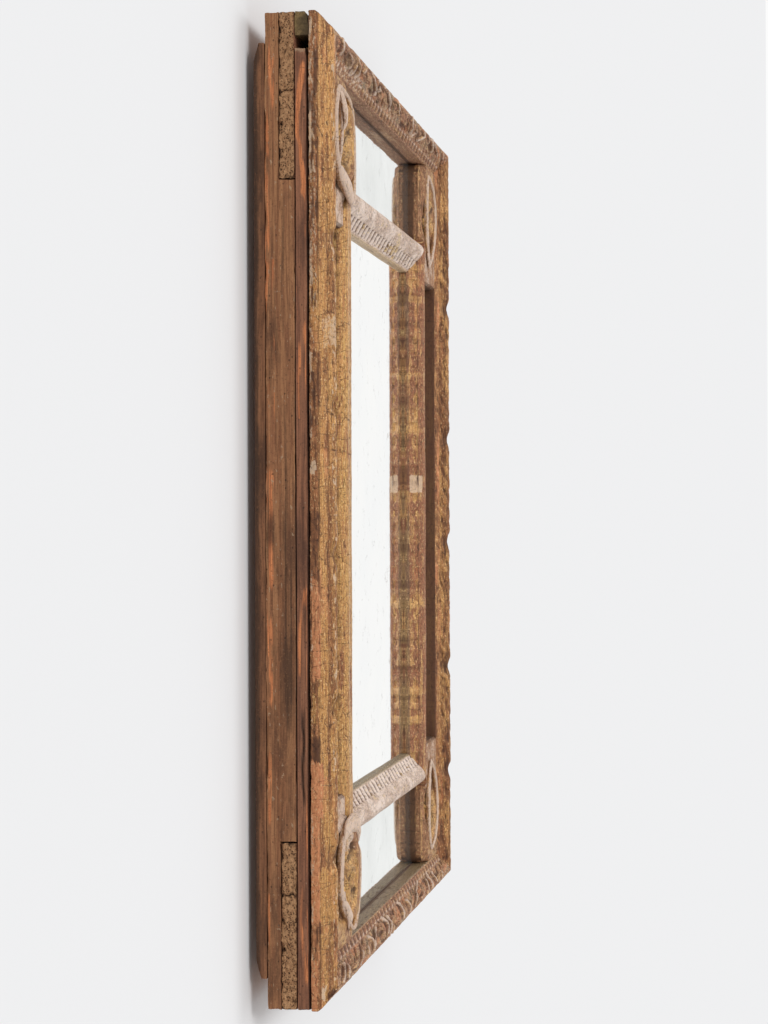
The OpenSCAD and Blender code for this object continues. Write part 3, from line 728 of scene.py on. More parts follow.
def outer_fields(side, g, u, h, z, s):
    """What the carving and the colours of an outer moulding share: its zones, leaves and flutes."""
    upright = side in UPRIGHT
    length = TALL if upright else WIDE
    f = SimpleNamespace(u=u, h=h, z=z, s=s)
    f.outside = 1 - step(u, 0.9, 1.6)
    f.inner = step(u, 11.5, 14.0)
    f.lip = step(u, 41.6, 42.4)
    f.rear = u < 14
    # Crest and slope with the leaves.
    f.lobes = sum(hump(z - n, 10.0) for n in NOTCHES[side])
    f.swell = sum(hump(z - n - 16, 9.0) + hump(z - n + 16, 9.0) for n in NOTCHES[side])
    f.crest = window(u, 10.5, 30.0, 3.0)
    f.slope = window(u, 14.0, 34.0, 1.2)
    f.ribs, f.hollows, f.fields = leaf_ribs(side, g, u, z)
    f.sweep = z - 4.2 * (u - 19.0) + 9.0 * g.deep(z / 34.0, u / 12.0, 2)
    f.fine = 0.5 + 0.5 * np.sin(f.sweep * 2 * math.pi / 15.0)
    f.gouge = g.marks(f.sweep / 9.0, u / 4.5, 3, 0.12, 0.45)
    f.plain = 1 - np.clip(f.ribs + 0.4 * f.hollows, 0, 1)
    # Small flutes across the foot of the slope.
    comb_z = z - 0.9 * (u - 37.0) + 1.6 * g.deep(z / 60.0, u * 0, 2)
    phase = (comb_z - length / 2) / FLUTE_PITCH
    f.bar = hump(phase - np.round(phase), 0.27)
    f.comb = window(u, 34.4, 41.4, 0.5) * (h > 19.6)
    f.cut = f.comb * (0.45 + 0.55 * g.marks(z / 50.0, u * 0 + 5, 2, -0.5, 0.1))
    if upright:
        f.ribs, f.hollows, f.plain = f.ribs * 0.3, f.hollows * 0.3, f.plain * 0.55
        f.comb, f.cut = f.comb * 0.25, f.cut * 0.3
    elif side == "top":
        fresh = 0.3 + 0.7 * step(z, 140, 290)
        f.comb, f.cut = f.comb * fresh, f.cut * fresh
    # Knocks, long cuts and the corner that is lost at the lower left.
    f.knock = g.marks(z / 9.0, s / 4.0, 3, 0.3, 0.6)
    f.long_cut = g.marks(z / 45.0, s / 1.5, 3, 0.3, 0.6)
    f.lost = 0.0 * u
    if side in ("left", "bottom"):
        near = step(24.0 + 5.0 * g.deep(z / 5.0, u / 5.0, 2) - z, 0.0, 9.0)
        f.lost = near * step(u, 5.0, 12.0) * (1 - step(u, 40, 43))
    return f


def outer_growth(f, g):
    """How far the carving and the wear of an outer moulding stand off its profile."""
    u, z, s = f.u, f.z, f.s
    grow = f.crest * (-3.2 * f.lobes + 0.5 * np.clip(f.swell, 0, 1))
    grow = grow + f.slope * (1.5 * f.ribs - 1.5 * f.hollows)
    grow = grow - f.slope * f.plain * (0.7 * f.fine + 1.3 * f.gouge + 0.5 * f.fields)
    grow = grow + f.cut * (1.4 * f.bar - 1.5 * (1 - f.bar))
    grow = grow + 0.5 * g.deep(z / 55.0, s / 30.0, 2) + 0.34 * g.deep(z / 4.2, s / 2.2, 3)
    grow = grow - 0.9 * f.knock * (0.4 + 0.6 * f.crest) * (1 - f.outside) - 0.5 * f.long_cut * f.rear
    pit = g.marks(z / 2.6 + 9, s / 1.6, 2, 0.25, 0.6)
    grow = grow - f.outside * (0.6 * pit + 0.5 * g.marks(z / 14.0, s / 3.0, 3, 0.1, 0.5))
    return grow - 3.4 * f.lost * (0.6 + 0.4 * g.at(z / 5.0, u / 4.0))


def paint_outer_stile(wear, f, g):
    """Gilding of the left and right outer mouldings, worn along their length."""
    u, h, z, s = f.u, f.h, f.z, f.s
    block = flakes(g, z, s)
    wear.add(leaf=0.10 * block + 0.10 * window(u, 2.2, 9.5, 0.8) + 0.05 * f.inner - 0.22 * f.outside,
             pale=0.10 * window(u, 13, 24, 2.0),
             dark=0.04 * f.outside + 0.10 * (block < -0.3))
    wear.add(pale=0.4 * f.outside * hump(h - 15.5, 1.2) * g.marks(z / 16.0, s * 0 + 3, 3, 0.0, 0.3),
             dark=0.45 * f.outside * g.marks(z / 35.0, s / 3.0, 3, 0.1, 0.25))
    chips = window(u, 13.5, 22.0, 1.5) * g.marks(z / 8.0 + 4, s / 3.0, 3, 0.3, 0.42)
    wear.add(pale=0.6 * chips, dark=-0.3 * chips)
    wear.add(leaf=0.22 * f.inner * g.marks(z / 24.0, s / 5.0 + 2, 3, 0.1, 0.35),
             dark=0.22 * f.inner * g.marks(z / 18.0 + 7, s / 4.0, 3, 0.25, 0.5))
    wear.add(tint=0.22 * f.outside * g.marks(z / 40.0 + 6, s / 3.0, 3, -0.2, 0.1))
    wear.add(tint=0.25 * g.marks(z / 60.0 + 2, s / 6.0, 3, 0.2, 0.5) * (1 - f.lip))


def paint_outer_rail(wear, f, g, is_top):
    """Gilding of the top and bottom outer mouldings, rubbed pale on ribs and flutes."""
    u, h, z, s = f.u, f.h, f.z, f.s
    wear.add(leaf=-0.04 + 0.35 * f.slope * g.marks(z / 8.0, s / 5.0, 3, 0.15, 0.45) - 0.25 * f.outside,
             pale=0.24 * window(u, 30, 36, 1.5) + 0.05 * f.inner + 0.30 * f.comb * f.bar - 0.1 * f.lip,
             tint=0.36 * f.slope * f.plain * g.marks(f.sweep / 13.0, u / 9.0, 2, 0.0, 0.4))
    wear.add(tint=-0.3 * f.slope * f.plain * g.marks(f.sweep / 13.0 + 5.0, u / 9.0, 2, 0.1, 0.4))
    if is_top:
        chips = window(u, 30, 41, 1.0) * (1 - step(z, 200, 300)) * g.marks(z / 5.0 + 4, s / 2.5, 2, 0.1, 0.3)
        wear.add(leaf=0.5 * chips, pale=0.35 * chips)
        wear.add(dark=0.26 * f.lip, tint=-0.05 * f.lip)
    else:
        wear.add(leaf=0.3 * f.lip, dark=(0.36 - 0.28 * step(z, 600, 700)) * f.lip, tint=-0.35 * f.lip)
    # Painted shade: the lip darkens at its foot by the glass.
    wear.add(dark=0.75 * f.lip * (1 - step(h, 4.2, 6.5)))


def outer_relief(side, seed):
    """Crest lobes, leaf ribs, small flutes, wear and painted shade of the outer moulding."""
    g = Grain(seed)

    def relief(u, h, z, s):
        f = outer_fields(side, g, u, h, z, s)
        groove = hump(u - 10.6, 0.8) + hump(u - 1.7, 0.7)
        wear = Wear(
            leaf=0.48 + 0.26 * g.deep(z / 80.0, s / 3.6, 3),
            pale=0.06 + 0.75 * f.slope * np.clip(f.ribs, 0, 1) * (0.7 + 0.5 * g.at(z / 9.0, u / 5.0)),
            dark=0.05 + 0.5 * groove + 0.55 * f.slope * np.clip(f.hollows, 0, 1))
        wear.add(pale=0.30 * f.outside * g.marks(z / 4.0, s / 1.1, 3, 0.1, 0.4),
                 dark=0.7 * f.comb * (1 - f.bar) + 0.3 * f.knock + 0.3 * f.long_cut * f.rear)
        wear.add(dark=f.slope * f.plain * (0.55 * f.gouge + 0.30 * f.fine) + 0.32 * f.crest * f.lobes)
        if side in UPRIGHT:
            paint_outer_stile(wear, f, g)
        else:
            paint_outer_rail(wear, f, g, side == "top")
        if side == "right":
            # The right moulding is darker all over; its inner edge and its lip by the glass are darker still,
            # painted shade of the deep channel.
            wear.add(leaf=-0.10, dark=0.17 * f.inner + 0.12 * step(u, 36, 43) + 0.6 * f.lip,
                     tint=0.18 * step(u, 30, 36) * (1 - f.lip))
        if side == "left":
            wear.add(*patch_sums(LEFT_PATCHES, g, z, h))
        wear.add(dark=0.4 * f.lost)
        return outer_growth(f, g), wear

    return relief


def paint_inner_stile(wear, f, g, side):
    """Gilding of the left and right inner mouldings, worn to the bole in bands, with painted shade on the lip
    by the glass.
    """
    u, z, s = f.u, f.z, f.s
    gold = g.marks(z / 26.0 + 8, s / 6.0, 3, 0.22, 0.34)
    wear.add(leaf=0.42 + 0.22 * g.deep(z / 60.0, s / 4.0, 3) + 0.12 * flakes(g, z, s) + 0.26 * gold,
             pale=0.12 + 0.5 * hump(u - 151, 1.3) + 0.18 * f.bead,
             dark=0.28 * f.comb * f.slot + 0.22 * f.knock + 0.4 * f.steep + 0.4 * hump(u - 175.5, 1.0),
             tint=0.2 * g.marks(z / 50.0, s / 8.0, 3, 0.0, 0.4) * (1 - gold))
    wear.add(leaf=0.25 * g.marks(z / 21.0 + 9, u * 0 + 1, 2, 0.25, 0.5),
             dark=0.16 * g.marks(z / 12.0, u * 0 + 4, 2, 0.15, 0.45))
    if side == "right":
        # Painted shade: the lip by the glass is darkened.
        low = step(u, 187.5, 189.5)
        wear.add(leaf=-0.16 * (1 - step(u, 174, 177)), dark=0.45 * low + 0.2 * hump(u - 175.5, 1.6),
                 tint=-0.25 * low)
        wear.add(pale=0.10 * f.comb * (1 - f.slot) + 0.6 * hump(u - 142.5, 1.1) + 0.06 * (u < 175))
        wear.add(pale=0.6 * window(z, 526, 548, 2.0) * window(u, 168, 188, 3.0))
    else:
        # Painted shade: the lip by the glass is darkened.
        wear.add(leaf=0.2, dark=0.5 * step(u, 188.5, 190.0), tint=-0.1 * window(u, 142, 160, 4.0))


def paint_inner_rail(wear, f, g, is_top):
    """Pale, rubbed gesso of the top and bottom inner mouldings, with a few gold chips, and painted shade at
    the right end and on the bottom rail's lip.
    """
    u, z, s = f.u, f.z, f.s
    edge = step(u, 189.2, 190.2)
    chip = g.deep(z / 12.0, s / 6.0, 3) + 0.2 * hump(u - 148, 5.0) + 0.35 * window(z, 440, 520, 10.0) * is_top
    chip = step(chip, 0.42, 0.56)
    wear.add(leaf=0.20 + 0.5 * chip + 0.4 * edge,
             pale=0.46 + 0.26 * g.deep(z / 22.0, s / 12.0, 3) - 0.4 * chip - 0.2 * edge,
             dark=-0.18 + 1.6 * f.comb * f.slot + 0.15 * f.knock + 0.3 * f.steep)
    wear.add(pale=0.16 * f.comb * (1 - f.slot),
             dark=0.5 * hump(u - 176.6, 0.6) + 0.5 * step(z, RIGHT_SHADE_FROM, RIGHT_SHADE_TO) * (u > 170))
    if is_top:
        wear.add(tint=-0.15 * step(u, 189.2, 190.6))
    else:
        # Painted shade: the bottom rail's lip by the glass is darkened.
        wear.add(dark=0.45 * step(u, 190.2, 191.8), tint=-0.4 * step(u, 189.2, 190.6))


def inner_relief(side, seed):
    """Comb of flutes, chips, wear and painted shade of the inner moulding."""
    g = Grain(seed)
    upright = side in UPRIGHT
    length = TALL if upright else WIDE

    def relief(u, h, z, s):
        f = SimpleNamespace(u=u, z=z, s=s)
        phase = (z - (0.1 if upright else 0.35) * (u - 183.0) - length / 2) / FLUTE_PITCH
        off = np.abs(phase - np.round(phase))
        f.comb = window(u, 177.0, 188.6, 0.8) * (h > 9.4)
        f.slot = 1 - step(off, 0.20, 0.31)
        f.bead = hump(u - 186.5, 2.0) * hump(off - 0.5, 0.16)
        f.knock = g.marks(z / 10.0, s / 5.0, 3, 0.34, 0.6)
        f.steep = 1 - step(u, 140.2, 142.5)
        grow = f.comb * (-3.0 * f.slot + 0.3 * (1 - f.slot)) * (0.45 if upright else 1.0)
        grow = grow + 0.24 * g.deep(z / 4.5, s / 2.4, 3) * (1.3 if upright else 0.6)
        grow = grow + 0.45 * g.deep(z / 60.0, s / 25.0, 2) - 0.7 * f.knock * window(u, 141, 177, 3)
        wear = Wear(0.0, 0.0, 0.0)
        if upright:
            paint_inner_stile(wear, f, g, side)
        else:
            paint_inner_rail(wear, f, g, side == "top")
        return grow, wear

    return relief


def make_mouldings():
    outer, outer_front = closed_profile(OUTER_FRONT, OUTER_BACK, OUTER_SPACING)
    for k, side in enumerate(EDGES):
        upright = side in UPRIGHT
        inner_points = INNER_FRONT if upright else INNER_RAIL_FRONT
        inner, inner_front = closed_profile(inner_points, INNER_BACK, INNER_SPACING)
        carved_moulding("outer_moulding_%s_carved" % side, side, outer, outer_front,
                        STILE_GILT if upright else RAIL_GILT,
                        "outer_moulding_%s" % side, outer_relief(side, OUTER_SEED + k))
        carved_moulding("inner_moulding_%s_carved" % side, side, inner, inner_front,
                        INNER_STILE if upright else INNER_RAIL,
                        "inner_moulding_%s" % side, inner_relief(side, INNER_SEED + k))


make_mouldings()


# Corner scrolls. u is distance inward from the stile's edge, w distance along the stile from
# the mirror's end, h height in front of the carcass.
BLOCK_IN, BLOCK_OUT, BLOCK_END = 42.7, 139.7, 200.0
BLOCK_ROUND = 22.0  # radius of the block's rounded corner
BLOCK_FOOT = 3.0  # height of the block's rear
GROUND = 24.0  # height of the block's front, before it is carved
RING_W, RING_A, RING_B = 117.5, 43.0, 55.0  # centre of the oval, half its width and half its length
LEFT_CENTER, RIGHT_CENTER = 112.0, 100.0
HOOK_RISE = 2.4  # how much higher the lower left scroll stands
SCROLL_TOP = 37.5  # no rope stands higher
TUBE_SIDES = 28
RING_POINTS, STRAND_POINTS, LEAF_POINTS = 220, 90, 60
BLOCK_CELLS = (96, 136)
# Carved lines of the scrolls: distance from the block's centre towards the pane, and
# distance along the stile from the mirror's end.
RINGS = {
    "top_left": (-18, 58, -31, 72, -36, 90, -36, 108, -33, 124, -25, 138, -12, 150, 8, 162, 28, 172,
                 38, 172, 43, 162, 45, 145, 45, 120, 43, 98, 37, 80, 22, 66, 0, 58),
    "bottom_left": (45, 149, 46, 160, 42, 171, 30, 177, 15, 175, 2, 167, -8, 155, -15, 137, -21, 112,
                    -17, 98, -8, 88, 4, 76, 13, 62, 18, 58, 27, 64, 38, 76, 45, 90, 49, 106, 50, 123,
                    49, 140, 46, 145),
    "top_right": (30, 58, 40, 75, 44, 100, 44, 125, 40, 145, 28, 160, 12, 173, 4, 173, -10, 164,
                  -26, 150, -38, 130, -43, 110, -38, 88, -22, 70, 5, 59),
    "bottom_right": (12, 58, 34, 70, 43, 92, 45, 116, 43, 140, 32, 160, 16, 172, 4, 172, -12, 164,
                     -28, 148, -38, 128, -42, 108, -36, 86, -20, 68)}
STRANDS = {
    "top_left": (-12, 62, 0, 74, 6, 90, 6, 106, 0, 122, -14, 141),
    "bottom_left": (-14, 106, -6, 94, 3, 83, 8, 73, 12, 64),
    "top_right": (26, 66, 33, 84, 34, 108, 30, 130, 18, 152),
    "bottom_right": (16, 68, 30, 88, 33, 112, 28, 136, 16, 156)}
# Broad smooth leaves where strands run together: name, how pale, then for each point the
# same distances, the radius and the height.
LEAVES = {
    "top_left": (
        ("scroll_leaf", 0.62, ((-16, 140, 4.0, 26.5), (0, 150, 8.5, 28.0), (16, 160, 11.0, 29.5),
                               (30, 169, 9.0, 30.0), (38, 176, 4.0, 28.0))),
        ("scroll_crown", 0.50, ((-10, 60, 3.0, 26.0), (0, 68, 6.5, 27.0), (7, 80, 7.5, 28.5),
                                (9, 92, 5.0, 28.5), (5, 101, 2.5, 26.5)))),
    "bottom_left": (
        ("scroll_leaf", 0.62, ((-8, 154, 4.0, 27.5), (5, 167, 9.0, 28.5), (22, 171, 10.0, 30.5),
                               (38, 168, 9.5, 32.0), (46, 158, 6.0, 33.0), (46, 148, 4.0, 33.0))),
        ("scroll_bud", 0.32, ((33, 144, 2.5, 29.5), (40, 139, 5.5, 31.0), (46, 131, 3.0, 31.5))),
        ("scroll_foot", 0.62, ((-10, 93, 3.0, 28.5), (2, 83, 6.5, 29.2), (11, 73, 8.5, 29.6),
                               (17, 58, 4.0, 28.0)))),
    "top_right": (
        ("scroll_leaf", 0.62, ((24, 160, 3.5, 25.0), (14, 168, 5.0, 25.0), (6, 178, 3.5, 25.0))),),
    "bottom_right": (
        ("scroll_leaf", 0.62, ((24, 160, 3.5, 25.0), (14, 167, 5.0, 25.0), (6, 176, 3.5, 25.0))),)}


def place_in_corner(corner, u, h, w):
    """From the corner's own distances, inward and along the stile, to the mirror's frame."""
    sx = -1.0 if "left" in corner else 1.0
    sz = -1.0 if "bottom" in corner else 1.0
    return np.stack([sx * (WIDE / 2 - u), -FRONT - h, sz * (TALL / 2 - w)], -1)


def hash_name(name):
    return sum((i + 1) * ord(c) for i, c in enumerate(name)) % 9973


def nearest_rows(before, after):
    """For each vertex that is left, the index of the first old one at the same place."""
    table = {}
    for i, p in enumerate(np.round(before, 2)):
        table.setdefault(tuple(p), i)
    return np.array([table.get(tuple(p), 0) for p in np.round(after, 2)])


def swept_tube(path, section, closed):
    """A tube along a path in the mirror's plane.

    path: rows of (u, w, lift). section(row, turn) gives side and height of the skin.
    """
    rows = len(path)
    cells = rows if closed else rows - 1
    bm = bmesh.new()
    bmesh.ops.create_grid(bm, x_segments=cells, y_segments=TUBE_SIDES, size=0.5)
    co = verts_of(bm)
    i = np.rint((co[:, 0] + 0.5) * cells).astype(int)
    j = np.rint((co[:, 1] + 0.5) * TUBE_SIDES).astype(int)
    row = i % rows if closed else i
    turn = (j % TUBE_SIDES) * 2 * math.pi / TUBE_SIDES
    ahead = np.roll(path, -1, 0) if closed else np.concatenate([path[1:], path[-1:]])
    behind = np.roll(path, 1, 0) if closed else np.concatenate([path[:1], path[:-1]])
    tangent = (ahead - behind)[:, :2]
    tangent /= np.linalg.norm(tangent, axis=1, keepdims=True)
    across = np.stack([tangent[:, 1], -tangent[:, 0]], 1)
    side, high = section(row, turn)
    u = path[row, 0] + across[row, 0] * side
    w = path[row, 1] + across[row, 1] * side
    h = path[row, 2] + high
    return bm, u, h, w, row, turn


def scroll_tube(corner, name, path, radius, flat, closed, tone, ridged):
    """One carved rope of a scroll. radius is one number or a number for each point of the path.

    tone gives leaf, pale and dark, each in the same way. A ridged rope is drawn up to a
    rubbed ridge, and its flanks stay brown.
    """
    g = Grain(hash_name(name))
    rows = len(path)
    length = path_lengths(path[:, :2])
    radius = np.broadcast_to(radius, rows)
    tone = [np.broadcast_to(t, rows) for t in tone]

    def twist(place, turn):
        return np.abs(np.sin(1.5 * (turn - place * 0.012)))

    def section(row, turn):
        place = length[row]
        taper = 1.0 if closed else 0.3 + 0.7 * np.minimum(1.0, np.minimum(row, rows - 1 - row) / 7.0)
        line = 0.93 + 0.07 * twist(place, turn)
        dent = 1.0 + 0.05 * g.deep(place / 14.0, turn * 0.8, 2) + 0.03 * g.deep(place / 3.5, turn * 2.5, 2)
        r = radius[row] * taper * line * dent
        high = r * flat * np.sin(turn)
        if ridged:
            high = high * np.where(np.sin(turn) > 0, 1.12 - 0.42 * np.abs(np.cos(turn)), 1.0)
        return r * np.cos(turn), high

    bm, u, h, w, row, turn = swept_tube(path, section, closed)
    place = length[row]
    up = np.sin(turn)
    line = step(twist(place, turn), 0.1, 0.4)
    worn = g.deep(place / 12.0, turn * 1.2, 3)
    leaf = tone[0][row] + 0.3 * worn - 0.12 * up + 0.3 * g.deep(place / 5.0, turn * 2.4, 2)
    pale = tone[1][row] + 0.22 * up + 0.2 * worn - 0.12 * (1 - line)
    if ridged:
        pale = tone[1][row] * (0.84 + 0.5 * step(up, 0.40, 0.82)) + 0.15 * worn
    dark = tone[2][row] + 0.3 * (1 - line) + 0.45 * (up < -0.45)
    dark = dark + 0.25 * g.marks(place / 6.0, turn * 2.0, 3, 0.3, 0.6)
    move_verts(bm, place_in_corner(corner, u, np.minimum(h, SCROLL_TOP), w))
    wear = Wear(leaf, pale, dark).rows()
    run = np.stack([place, turn * 6.0, np.zeros_like(place)], 1)
    # The seam's doubles go first, so the attributes are read back by place.
    spots = verts_of(bm)
    bmesh.ops.remove_doubles(bm, verts=bm.verts, dist=1e-4)
    if not closed:
        fill_holes(bm)
    keep = nearest_rows(spots, verts_of(bm))
    return finish_piece(bm, name, [SCROLL_GILT], "frame", [], wear[keep], run[keep])


def block_fields(block, u, w):
    """Places on a corner block: its edge, the tab and the leafy ground inside the ring."""
    f = SimpleNamespace(u=u, w=w)
    top = BLOCK_IN + BLOCK_ROUND
    arc = np.sqrt(np.clip(BLOCK_ROUND ** 2 - np.clip(top - w, 0, BLOCK_ROUND) ** 2, 0, None))
    side = np.where(w < top, block.pane_side - BLOCK_ROUND + arc, block.pane_side)
    tab_from = BLOCK_OUT + block.reach
    f.edge = side + (BLOCK_OUT + 1.6 - side) * step(w, tab_from, tab_from + 14.0)
    f.tab = step(w, BLOCK_OUT, BLOCK_OUT + 4)
    f.du, f.dw = (u - block.center) / RING_A, (w - RING_W) / RING_B
    f.radius = np.hypot(f.du, f.dw)
    f.turned = np.arctan2(f.dw, f.du) + 0.5 * np.sin(3.0 * f.radius)
    f.fan = np.cos(f.turned * 6 + 5.0 * f.radius)
    f.inside = 1 - step(f.radius, 0.78, 0.92)
    f.from_hole = np.hypot((u - block.center - 31) / 1.4, w - 146)
    return f


def ground_height(block, f):
    """Height of a block's front: leafy ground, lens-shaped hollow, worn rim and chips."""
    g, u, w = block.g, f.u, f.w
    tall = step(u, block.center - 20, block.center + 10) * (w < 178)
    h = GROUND - 1.5 * step(w, BLOCK_OUT - 2, BLOCK_OUT + 6) + HOOK_RISE * block.hooked * tall
    rise = step(u, block.center - 14, block.center + 42) * window(w, 66, 166, 9.0)
    h = h + 8.0 * block.left * rise
    # Lobes fan out from the inner strand, with a vein and nicks in each.
    nick = step(np.abs(np.sin(f.turned * 18 + 9 * f.radius)), 0.0, 0.5)
    lobes = (2.6 * np.clip(f.fan, -0.3, 1) - 0.9 * (1 - nick)) * window(f.radius, 0.12, 0.74, 0.1)
    h = h + f.inside * (-3.0 + lobes + 1.9 * g.deep(u / 5.0, w / 5.0, 3))
    h = h + 2.4 * hump(np.hypot(f.du + 0.2, f.dw + 0.45), 0.16)
    h = h - 2.2 * f.inside * hump(f.du + 0.38, 0.22) - 5.0 * block.hooked * hump(f.from_hole, 4.0)
    fall, width = (4.0 - 2.5 * f.tab, 6.0) if block.left else (8.0 - 6.5 * f.tab, 16.0)
    rim = 5.0 * (1 - step(np.minimum(u - BLOCK_IN, 40), 0.0, 7.0)) + fall * (1 - step(f.edge - u, 0.0, width))
    rim = rim + 2.5 * (1 - step(w - BLOCK_IN, 0.0, 5.0)) + 3.0 * (1 - step(BLOCK_END - w, 0.0, 2.5))
    h = h - rim + 0.35 * g.deep(u / 12.0, w / 20.0, 3) + 0.2 * g.deep(u / 3.0, w / 5.0, 2)
    return h - 0.7 * g.marks(u / 7.0, w / 9.0, 3, 0.38, 0.6)


def add_skirt(bm):
    """Sides that go down from the rim of a block's front to its foot, and a closed rear."""
    rim = [e for e in bm.edges if e.is_boundary]
    skirt = bmesh.ops.extrude_edge_only(bm, edges=rim)["geom"]
    for v in skirt:
        if isinstance(v, bmesh.types.BMVert):
            v.co.y = -BLOCK_FOOT
    tall = [e for e in bm.edges if abs(e.verts[0].co.y - e.verts[1].co.y) > 6.0
            and min(-e.verts[0].co.y, -e.verts[1].co.y) < BLOCK_FOOT + 0.01]
    bmesh.ops.subdivide_edges(bm, edges=tall, cuts=10, use_grid_fill=False)
    fill_holes(bm)
    bm.verts.ensure_lookup_table()


def paint_block(block, f, h, flank):
    """Gilding of a block, with painted shade at its flanks' foot, edges and tab end, and in the hook's hole.
    flank is 1 on its sides.
    """
    g, u, w = block.g, f.u, f.w
    front = (1 - flank) * (1 - f.tab)
    pane = step(f.edge - u, 1.5, 0.2) * flank * (1 - f.tab)
    # The tab's far end is darkened: painted shadow where it drops to the carcass.
    wear = Wear(
        leaf=0.50 + 0.25 * g.deep(u / 14.0, w / 22.0, 3) - 0.25 * f.tab - 0.20 * flank,
        pale=0.14 + (0.42 if block.left else 0.28) * f.tab * (u < 138) - 0.10 * flank,
        dark=0.04 + 0.16 * flank + 0.5 * f.tab * step(w, 195.5, 198.5),
        tint=0.5 + 0.05 * flank - 0.2 * f.inside * g.marks(u / 8.0, w / 9.0 + 3, 2, 0.1, 0.5))
    # The leafy ground inside the ring.
    wear.add(leaf=f.inside * (0.4 * np.clip(f.fan, 0, 1) + 0.2 * step(f.du, 0.0, 0.5)),
             dark=f.inside * (0.5 * np.clip(-f.fan, 0, 1) + 0.45 * hump(f.du + 0.38, 0.2)))
    wear.add(leaf=0.55 * f.inside * g.marks(u / 3.2, w / 3.6, 2, 0.2, 0.5),
             dark=0.45 * f.inside * g.marks(u / 4.0 + 5, w / 4.5, 2, 0.15, 0.45))
    if block.left:
        shade = 0.6 + 0.6 * g.deep(u / 6.0, w / 11.0, 2)
        wear.add(dark=0.48 * f.inside * (1 - step(f.du, -0.25, 0.2)) * shade)
    if block.hooked:
        # Painted shade: the hole under the hook is darkened.
        wear.add(dark=0.9 * hump(f.from_hole, 4.5))
    # Rim, pane side, flanks and the rubbed end of the block. The flanks' foot by the glass and the edge
    # against the outer moulding are darkened: painted shade.
    wear.add(leaf=0.3 * hump(f.edge - u - 3.0, 3.0) * (1 - f.tab) + 0.2 * pane * step(h, 17, 21),
             pale=0.18 * g.deep(u / 9.0, w / 13.0, 3),
             dark=0.95 * flank * (1 - step(h, 4.5, 8.5)) + 0.25 * (1 - step(u - BLOCK_IN, 0, 4)))
    wear.add(leaf=0.35 * flank * g.marks(w / 16.0, h / 1.6, 3, 0.2, 0.4),
             dark=0.25 * flank * g.marks(w / 16.0, h / 2.0 + 7, 3, 0.1, 0.4))
    if not block.left:
        turned_down = (1 - step(f.edge - u, 14.0, 17.0)) * front
        wear.add(leaf=-0.25 * flank - 0.30 * turned_down,
                 dark=turned_down * (0.10 + 0.5 * g.marks(w / 26.0, u / 2.4, 3, 0.0, 0.35)))
        # Painted shade: the right blocks' flanks darken further towards the glass.
        wear.add(dark=flank * (0.06 + 0.5 * (1 - step(h, 8.0, 13.0))))
    rough = 1 - step(w, 56, 66)
    wear.add(leaf=0.5 * rough * g.deep(u / 6.0, w / 4.0, 3),
             dark=0.5 * rough * g.marks(u / 7.0 + 3, w / 5.0, 3, 0.15, 0.4))
    return wear


def corner_block(corner, center):
    """The block under a scroll: leafy ground inside the ring, plain rim and tab."""
    name = "corner_block_" + corner
    hooked = corner == "bottom_left"
    block = SimpleNamespace(
        g=Grain(hash_name(name)), center=center, left="left" in corner, hooked=hooked,
        pane_side=center + RING_A + (9.0 if hooked else 3.0), reach=22.0 if hooked else 2.0)
    bm = bmesh.new()
    bmesh.ops.create_grid(bm, x_segments=BLOCK_CELLS[0], y_segments=BLOCK_CELLS[1], size=0.5)
    co = verts_of(bm)
    w = BLOCK_IN + (co[:, 1] + 0.5) * (BLOCK_END - BLOCK_IN)
    edge = block_fields(block, 0.0 * w, w).edge
    u = BLOCK_IN + (co[:, 0] + 0.5) * (edge - BLOCK_IN)
    h = ground_height(block, block_fields(block, u, w))
    move_verts(bm, np.stack([u, -h, w], 1))
    front_count = len(bm.verts)
    add_skirt(bm)
    co = verts_of(bm)
    u, h, w = co[:, 0], -co[:, 1], co[:, 2]
    flank = (np.arange(len(co)) >= front_count) * 1.0
    f = block_fields(block, u, w)
    f.u = u - np.abs(flank * 0.5 * block.g.deep(w / 8.0 + u / 8.0, h / 5.0, 3))
    wear = paint_block(block, f, h, flank)
    move_verts(bm, place_in_corner(corner, f.u, h, w))
    run = np.stack([w, f.u + flank * (GROUND - h), np.zeros_like(w)], 1)
    return finish_piece(bm, name, [SCROLL_GILT], "frame", ["corner_scroll_" + corner],
                        wear.rows(), run)


def smooth_line(points, count, closed):
    """count points at even steps along a line or loop through the points, eased."""
    pts = np.array(points, float)
    if closed:
        pts = np.concatenate([pts, pts[:1]])
    run = path_lengths(pts[:, :2])
    where = np.linspace(0, run[-1], count, endpoint=not closed)
    line = np.stack([np.interp(where, run, pts[:, k]) for k in range(pts.shape[1])], 1)
    for _ in range(int(0.12 * count)):
        ahead, behind = np.roll(line, -1, 0), np.roll(line, 1, 0)
        eased = 0.5 * line + 0.25 * (ahead + behind)
        if not closed:
            eased[0], eased[-1] = line[0], line[-1]
        line = eased
    return line


